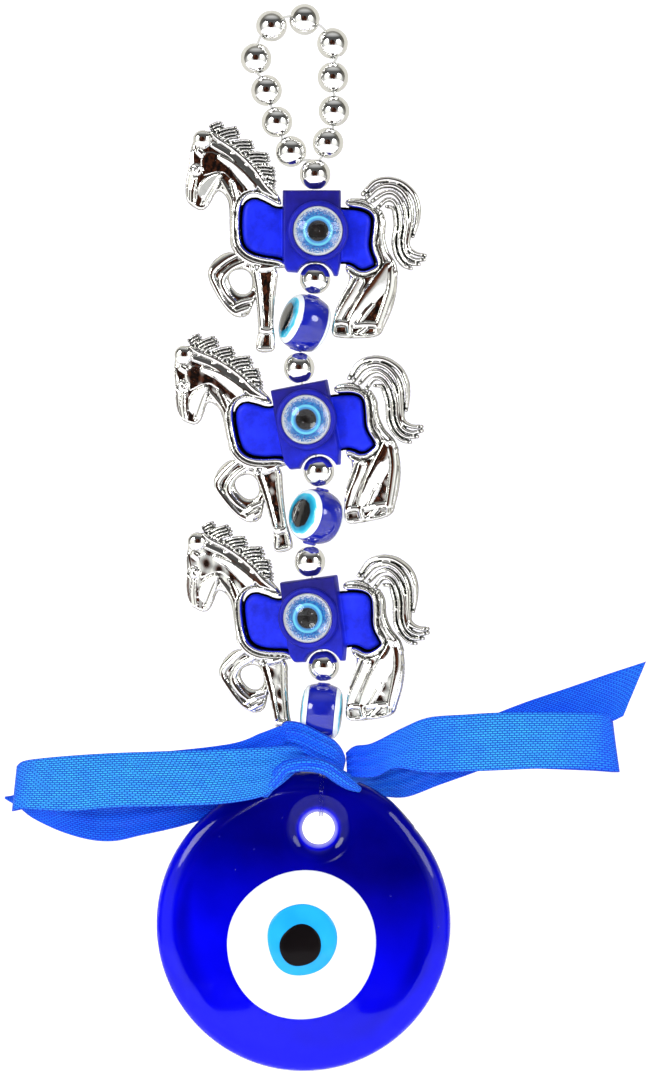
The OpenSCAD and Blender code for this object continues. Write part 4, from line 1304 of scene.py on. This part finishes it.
# Rows along each strip: top edge x, z, bottom edge x, z, and the depth y of both edges.
# The rope's rows are x, z, y along its middle
LEFT_LOOP = [
    (1.8, -142.2, -0.6, -145.6, -4.4), (-2.6, -141.2, -4.6, -149.0, -6.4),
    (-8.2, -141.4, -8.2, -151.2, -7.5), (-19.2, -141.9, -15.0, -152.5, -8.0),
    (-28.6, -142.2, -24.6, -153.0, -8.0), (-37.0, -142.5, -37.0, -153.3, -7.8),
    (-45.6, -143.0, -45.6, -154.0, -7.95), (-51.4, -143.5, -52.6, -153.8, -7.8),
    (-55.2, -144.1, -56.2, -153.6, -7.5), (-56.5, -145.0, -57.5, -154.1, -6.8),
    (-55.8, -145.2, -56.6, -154.0, -6.1), (-48.6, -143.8, -48.6, -152.4, -5.9),
    (-30.6, -142.6, -30.6, -151.6, -5.9), (-14.6, -140.8, -13.6, -150.4, -5.9),
    (-8.2, -138.6, -4.6, -147.4, -5.4), (-3.6, -137.1, -0.6, -145.4, -4.4),
    (-0.6, -138.0, 1.4, -144.4, -3.0)]
RIGHT_LOOP = [
    (8.6, -142.8, 8.8, -147.2, -2.2), (10.4, -141.4, 11.0, -147.6, -2.7),
    (13.8, -140.8, 14.8, -147.4, -2.7), (20.0, -137.7, 18.4, -145.8, -2.75),
    (25.1, -135.7, 25.1, -146.7, -2.6), (32.4, -135.1, 32.4, -146.5, -2.5),
    (39.4, -134.7, 39.4, -146.2, -2.55), (48.4, -134.6, 47.4, -145.9, -2.45),
    (57.8, -134.7, 56.4, -146.0, -2.5), (60.4, -135.1, 61.4, -146.4, -2.2),
    (61.6, -136.8, 63.1, -146.6, -1.4), (60.4, -136.2, 61.8, -146.7, -0.7),
    (48.4, -135.2, 55.2, -146.3, -0.45), (32.4, -135.6, 32.4, -145.6, -0.4),
    (21.4, -137.6, 20.4, -145.6, -0.45), (13.8, -141.0, 13.8, -147.2, -0.6),
    (9.8, -142.6, 9.8, -147.4, -0.9)]
LEFT_TAIL = [
    (-0.6, -143.4, -0.6, -147.4, 3.2), (-8.2, -145.4, -9.0, -152.4, 4.6),
    (-22.6, -146.8, -22.6, -157.3, 5.3), (-33.0, -149.2, -33.0, -159.8, 5.6),
    (-38.2, -150.0, -38.2, -160.9, 5.7), (-42.6, -150.0, -43.0, -160.6, 5.8),
    (-48.6, -149.6, -48.6, -159.0, 5.8), (-53.6, -150.4, -54.2, -156.4, 5.8),
    (-57.2, -151.4, -57.6, -153.8, 5.7), (-60.0, -152.05, -60.0, -152.25, 5.6)]
RIGHT_TAIL = [
    (7.6, -146.0, 7.4, -149.0, -3.6), (10.2, -147.4, 9.8, -150.4, -1.6),
    (12.8, -147.8, 12.6, -151.5, 3.2), (16.6, -146.6, 16.4, -151.9, 4.7),
    (21.6, -144.4, 21.0, -151.9, 5.0), (27.8, -141.0, 27.6, -149.5, 5.2),
    (35.4, -136.8, 35.4, -146.7, 5.3), (43.4, -133.4, 45.4, -142.8, 5.5),
    (53.4, -130.0, 55.4, -139.4, 5.6), (61.0, -127.4, 61.8, -137.0, 5.9),
    (69.0, -124.75, 64.4, -135.7, 5.7)]
WRAP = [
    (-4.6, -138.2, -3.8, -142.0, -4.2), (-3.4, -136.5, -2.2, -141.8, -4.9),
    (-0.4, -136.75, 0.4, -142.8, -4.85), (3.2, -138.45, 2.8, -144.4, -5.1),
    (6.2, -140.2, 5.2, -145.4, -4.9), (7.8, -142.2, 6.8, -146.2, -4.0),
    (8.4, -144.2, 7.8, -146.8, -2.6), (7.8, -145.4, 7.2, -146.8, -1.0)]
ROPE = [
    (-8.0, -150.6, -4.6), (-6.9, -149.3, -6.0), (-5.2, -147.4, -6.9), (-3.6, -145.6, -7.1),
    (-0.8, -144.9, -7.1), (2.2, -144.9, -7.0), (4.8, -145.7, -6.6), (6.8, -147.1, -5.9),
    (9.2, -148.9, -4.7), (11.4, -150.1, -3.4)]


def ribbon_material():
    """Satin ribbon: short bright floats in staggered rows over a deeper ground."""
    m, nt, bsdf = principled("satin_ribbon", Specular_IOR_Level=0.22, Sheen_Weight=0.05)
    uv = node(nt, "ShaderNodeUVMap", uv_map="UVMap").outputs[0]
    mm = vector(nt, "SCALE", {0: uv, "Scale": 1 / RIBBON_UV})
    drift = noise(nt, 0.35, at=mm)
    bricks = node(nt, "ShaderNodeTexBrick", {
        "Vector": mm, "Scale": 1.0, "Brick Width": 0.95, "Row Height": 0.48, "Mortar Size": 0.2,
        "Mortar Smooth": 0.9, "Color1": (1, 1, 1, 1), "Color2": (0.45, 0.45, 0.45, 1),
        "Mortar": (0, 0, 0, 1)})
    bricks.offset = 0.5
    floats = calc(nt, "SUBTRACT", 1.0, bricks.outputs["Fac"])
    vary = node(nt, "ShaderNodeSeparateColor", {0: bricks.outputs["Color"]}).outputs[0]
    floats = calc(nt, "MULTIPLY", floats, calc(nt, "MULTIPLY_ADD", vary, 0.5, 0.6))
    # Painted light and shade: shade 0 is the lit face of the ribbon, 1 the deeper, shaded blue of
    # folds, tails and the knot
    shade = attribute(nt, "shade")
    ground = mix(nt, shade, (0.001, 0.045, 0.40), (0.0, 0.028, 0.62))
    thread = mix(nt, shade, (0.04, 0.46, 0.96), (0.001, 0.15, 1.0))
    colour = mix(nt, floats, ground, thread)
    tone = calc(nt, "MULTIPLY_ADD", drift, 0.5, 0.76)
    tint = node(nt, "ShaderNodeCombineColor", {0: tone, 1: tone, 2: 1.0}).outputs[0]
    finish(nt, bsdf, mix(nt, 1.0, colour, tint, "MULTIPLY"),
           calc(nt, "MULTIPLY_ADD", floats, -0.15, 0.55), floats, 0.5, 0.12)
    return m


MAT_RIBBON = ribbon_material()


def cloth_piece(name, strip, node_name):
    """A strip of ribbon from a grid of points (along, across) and its painted shade, given a
    thickness.
    """
    grid, shade = strip
    n, m = grid.shape[:2]
    run = np.linalg.norm(np.diff(grid[:, m // 2], axis=0), axis=1)
    along_mm = np.concatenate([[0], np.cumsum(run)])
    across = np.linspace(0, RIBBON_WIDTH, m)
    uv = np.stack(np.broadcast_arrays(along_mm[:, None], across[None]), -1).reshape(-1, 2)
    corners = [i * m + j for i in range(n - 1) for j in range(m - 1)]
    faces = [(a, a + 1, a + m + 1, a + m) for a in corners]
    ob = piece(name, "link_3", grid.reshape(-1, 3), faces, MAT_RIBBON,
               uv=uv * RIBBON_UV, shade=shade.ravel(), replaces=[node_name])
    solid = ob.modifiers.new("thickness", "SOLIDIFY")
    solid.thickness, solid.offset = RIBBON_T * MM, 0.0


def flat_strip(rows, crown, pleat, dark, cols=26, per=14, tuck=0.0):
    """Grid and shade of a strip given by its two edges.

    crown is its rise along the middle in mm. pleat (mm) and dark (0 to 1, painted shade) are lists
    along its length. tuck is the share of its width turned under at each edge.
    """
    c = smooth_path(rows, per)
    t, s = np.linspace(0, 1, len(c))[:, None], np.linspace(0, 1, cols)[None]
    top = np.stack([c[:, 0], c[:, 4], c[:, 1]], 1)[:, None]
    low = np.stack([c[:, 2], c[:, 4], c[:, 3]], 1)[:, None]
    q, under = s, 0.0 * s
    if tuck:
        q = np.clip((s - tuck) / (1 - 2 * tuck), 0, 1)
        edge = np.clip(1 - np.minimum(s, 1 - s) / tuck, 0, 1)
        q = q + np.where(s < 0.5, 1, -1) * 0.42 * edge ** 1.3
        under = 0.75 * np.sqrt(np.minimum(edge * 4, 1))
    grid = top * (1 - q[..., None]) + low * q[..., None]
    # The face that shows first is the front one, so a loop's swelling turns with its fold
    turn = np.tanh(np.gradient(c[:, 0]) * 12) * np.sign(rows[len(rows) // 2][0] - rows[0][0])
    n_out = turn[:, None] * np.array([[0.0, -1.0, 0.0]])
    s, shown = q, s
    swell = crown * 4 * s * (1 - s) - under
    p = np.interp(t, np.linspace(0, 1, len(pleat)), pleat)
    folds = p * np.sin(2 * math.pi * (s * 3.2 + 0.6 * t)) * np.minimum(1, 6 * s * (1 - s))
    wander = 0.18 * np.sin(2 * math.pi * (t * 3.1 + s * 0.35)) + 0.09 * np.sin(
        2 * math.pi * (t * 7.3 - s * 0.8))
    grid = grid + n_out[:, None] * (swell + folds + wander * (1 - np.exp(-8 * t)))[..., None]
    # Painted shade along the strip's length
    d = np.interp(t, np.linspace(0, 1, len(dark)), dark) + 0 * s
    # Bound edges are a little deeper in colour
    rim = np.clip(1 - np.minimum(shown, 1 - shown) / BOUND_EDGE, 0, 1)
    return grid, np.clip(d + 0.75 * rim, 0, 1)


def rolled_strip(path_rows, radius_y, radius_c):
    """A strip rolled lengthwise into a soft rope."""
    c = smooth_path(path_rows, 12)[:, [0, 2, 1]]
    n = len(c)
    ahead = np.gradient(c, axis=0)
    ahead /= np.linalg.norm(ahead, axis=1)[:, None]
    out = np.array([[0.0, -1.0, 0.0]]) - ahead * (-ahead[:, 1:2])
    out /= np.linalg.norm(out, axis=1)[:, None]
    side = np.cross(ahead, out)
    t = np.linspace(0, 1, n)[:, None]
    a = np.linspace(-1.4 * math.pi, 1.4 * math.pi, 44)[None]
    grow = 1 - 0.14 * np.abs(a / math.pi) + 0.07 * np.sin(5 * a + 9 * t) + 0.05 * np.sin(
        9 * a - 14 * t)
    # Thinner towards both ends, and tucked away at the last one
    thin = 0.82 + 0.18 * np.sin(math.pi * np.clip(t, 0.05, 0.95))
    thin = thin * (1 - 0.7 * np.clip(5 * t - 4, 0, 1) ** 2)
    grid = (c[:, None] + (out[:, None] * (np.cos(a) * grow * radius_y * thin)[..., None]
                          + side[:, None] * (np.sin(a) * grow * radius_c * thin)[..., None]))
    # Painted shade in the rope's creases, over a rope that is shaded by half
    crease_shade = np.clip(0.5 - 6.0 * (grow - 1 + 0.14 * np.abs(a / math.pi)), 0, 1)
    return grid, np.clip(0.5 + 0.5 * crease_shade + 0 * t, 0, 1)


def bow():
    """The knot's wrap and rope, then two loops and two tails with their pleats and painted shade.
    """
    # The lists of 0 to 1 are painted shade along each strip, deepest round the knot, on the loops'
    # far layers and on the tails behind
    cloth_piece("bow_wrap", flat_strip(WRAP, 0.9, [0.2, 0.32, 0.36, 0.32, 0.2],
                                       [1.0, 0.85, 0.75, 0.85, 1.0], cols=44, per=20, tuck=0.22),
                "bow_knot")
    cloth_piece("bow_twist", rolled_strip(ROPE, 1.05, 1.35), "bow_knot")
    pleats = [0.5, 0.3, 0.12, 0.05, 0.04, 0.03, 0.03, 0.03, 0.04, 0.08, 0.25, 0.45]
    inner = [0.0, 0.1, 0.7, 0.9, 1.0, 1.0, 1.0, 0.8]
    for side, rows, outer in (("left", LEFT_LOOP, [0.75, 0.28, 0.05, 0.0]),
                              ("right", RIGHT_LOOP, [1.0, 1.0, 0.6, 0.3])):
        cloth_piece("bow_loop_" + side, flat_strip(rows, 0.25, pleats, outer + inner),
                    "bow_%s_loop" % side)
    for side, rows, fold, dark, cut_off in (
            ("left", LEFT_TAIL, 0.15, [1.0, 0.9, 0.8, 0.85, 0.9], 70.0),
            ("right", RIGHT_TAIL, 0.2, [0.4, 0.55, 0.8, 0.85, 0.7], 66.0)):
        cloth_piece("bow_tail_" + side, flat_strip(rows, 0.2, [0.3, fold, 0.05, 0.05], dark),
                    "bow_%s_tail" % side)


beads_and_thread()
bow()
horses()
flat_beads()
glass_disc()
glass_thread()
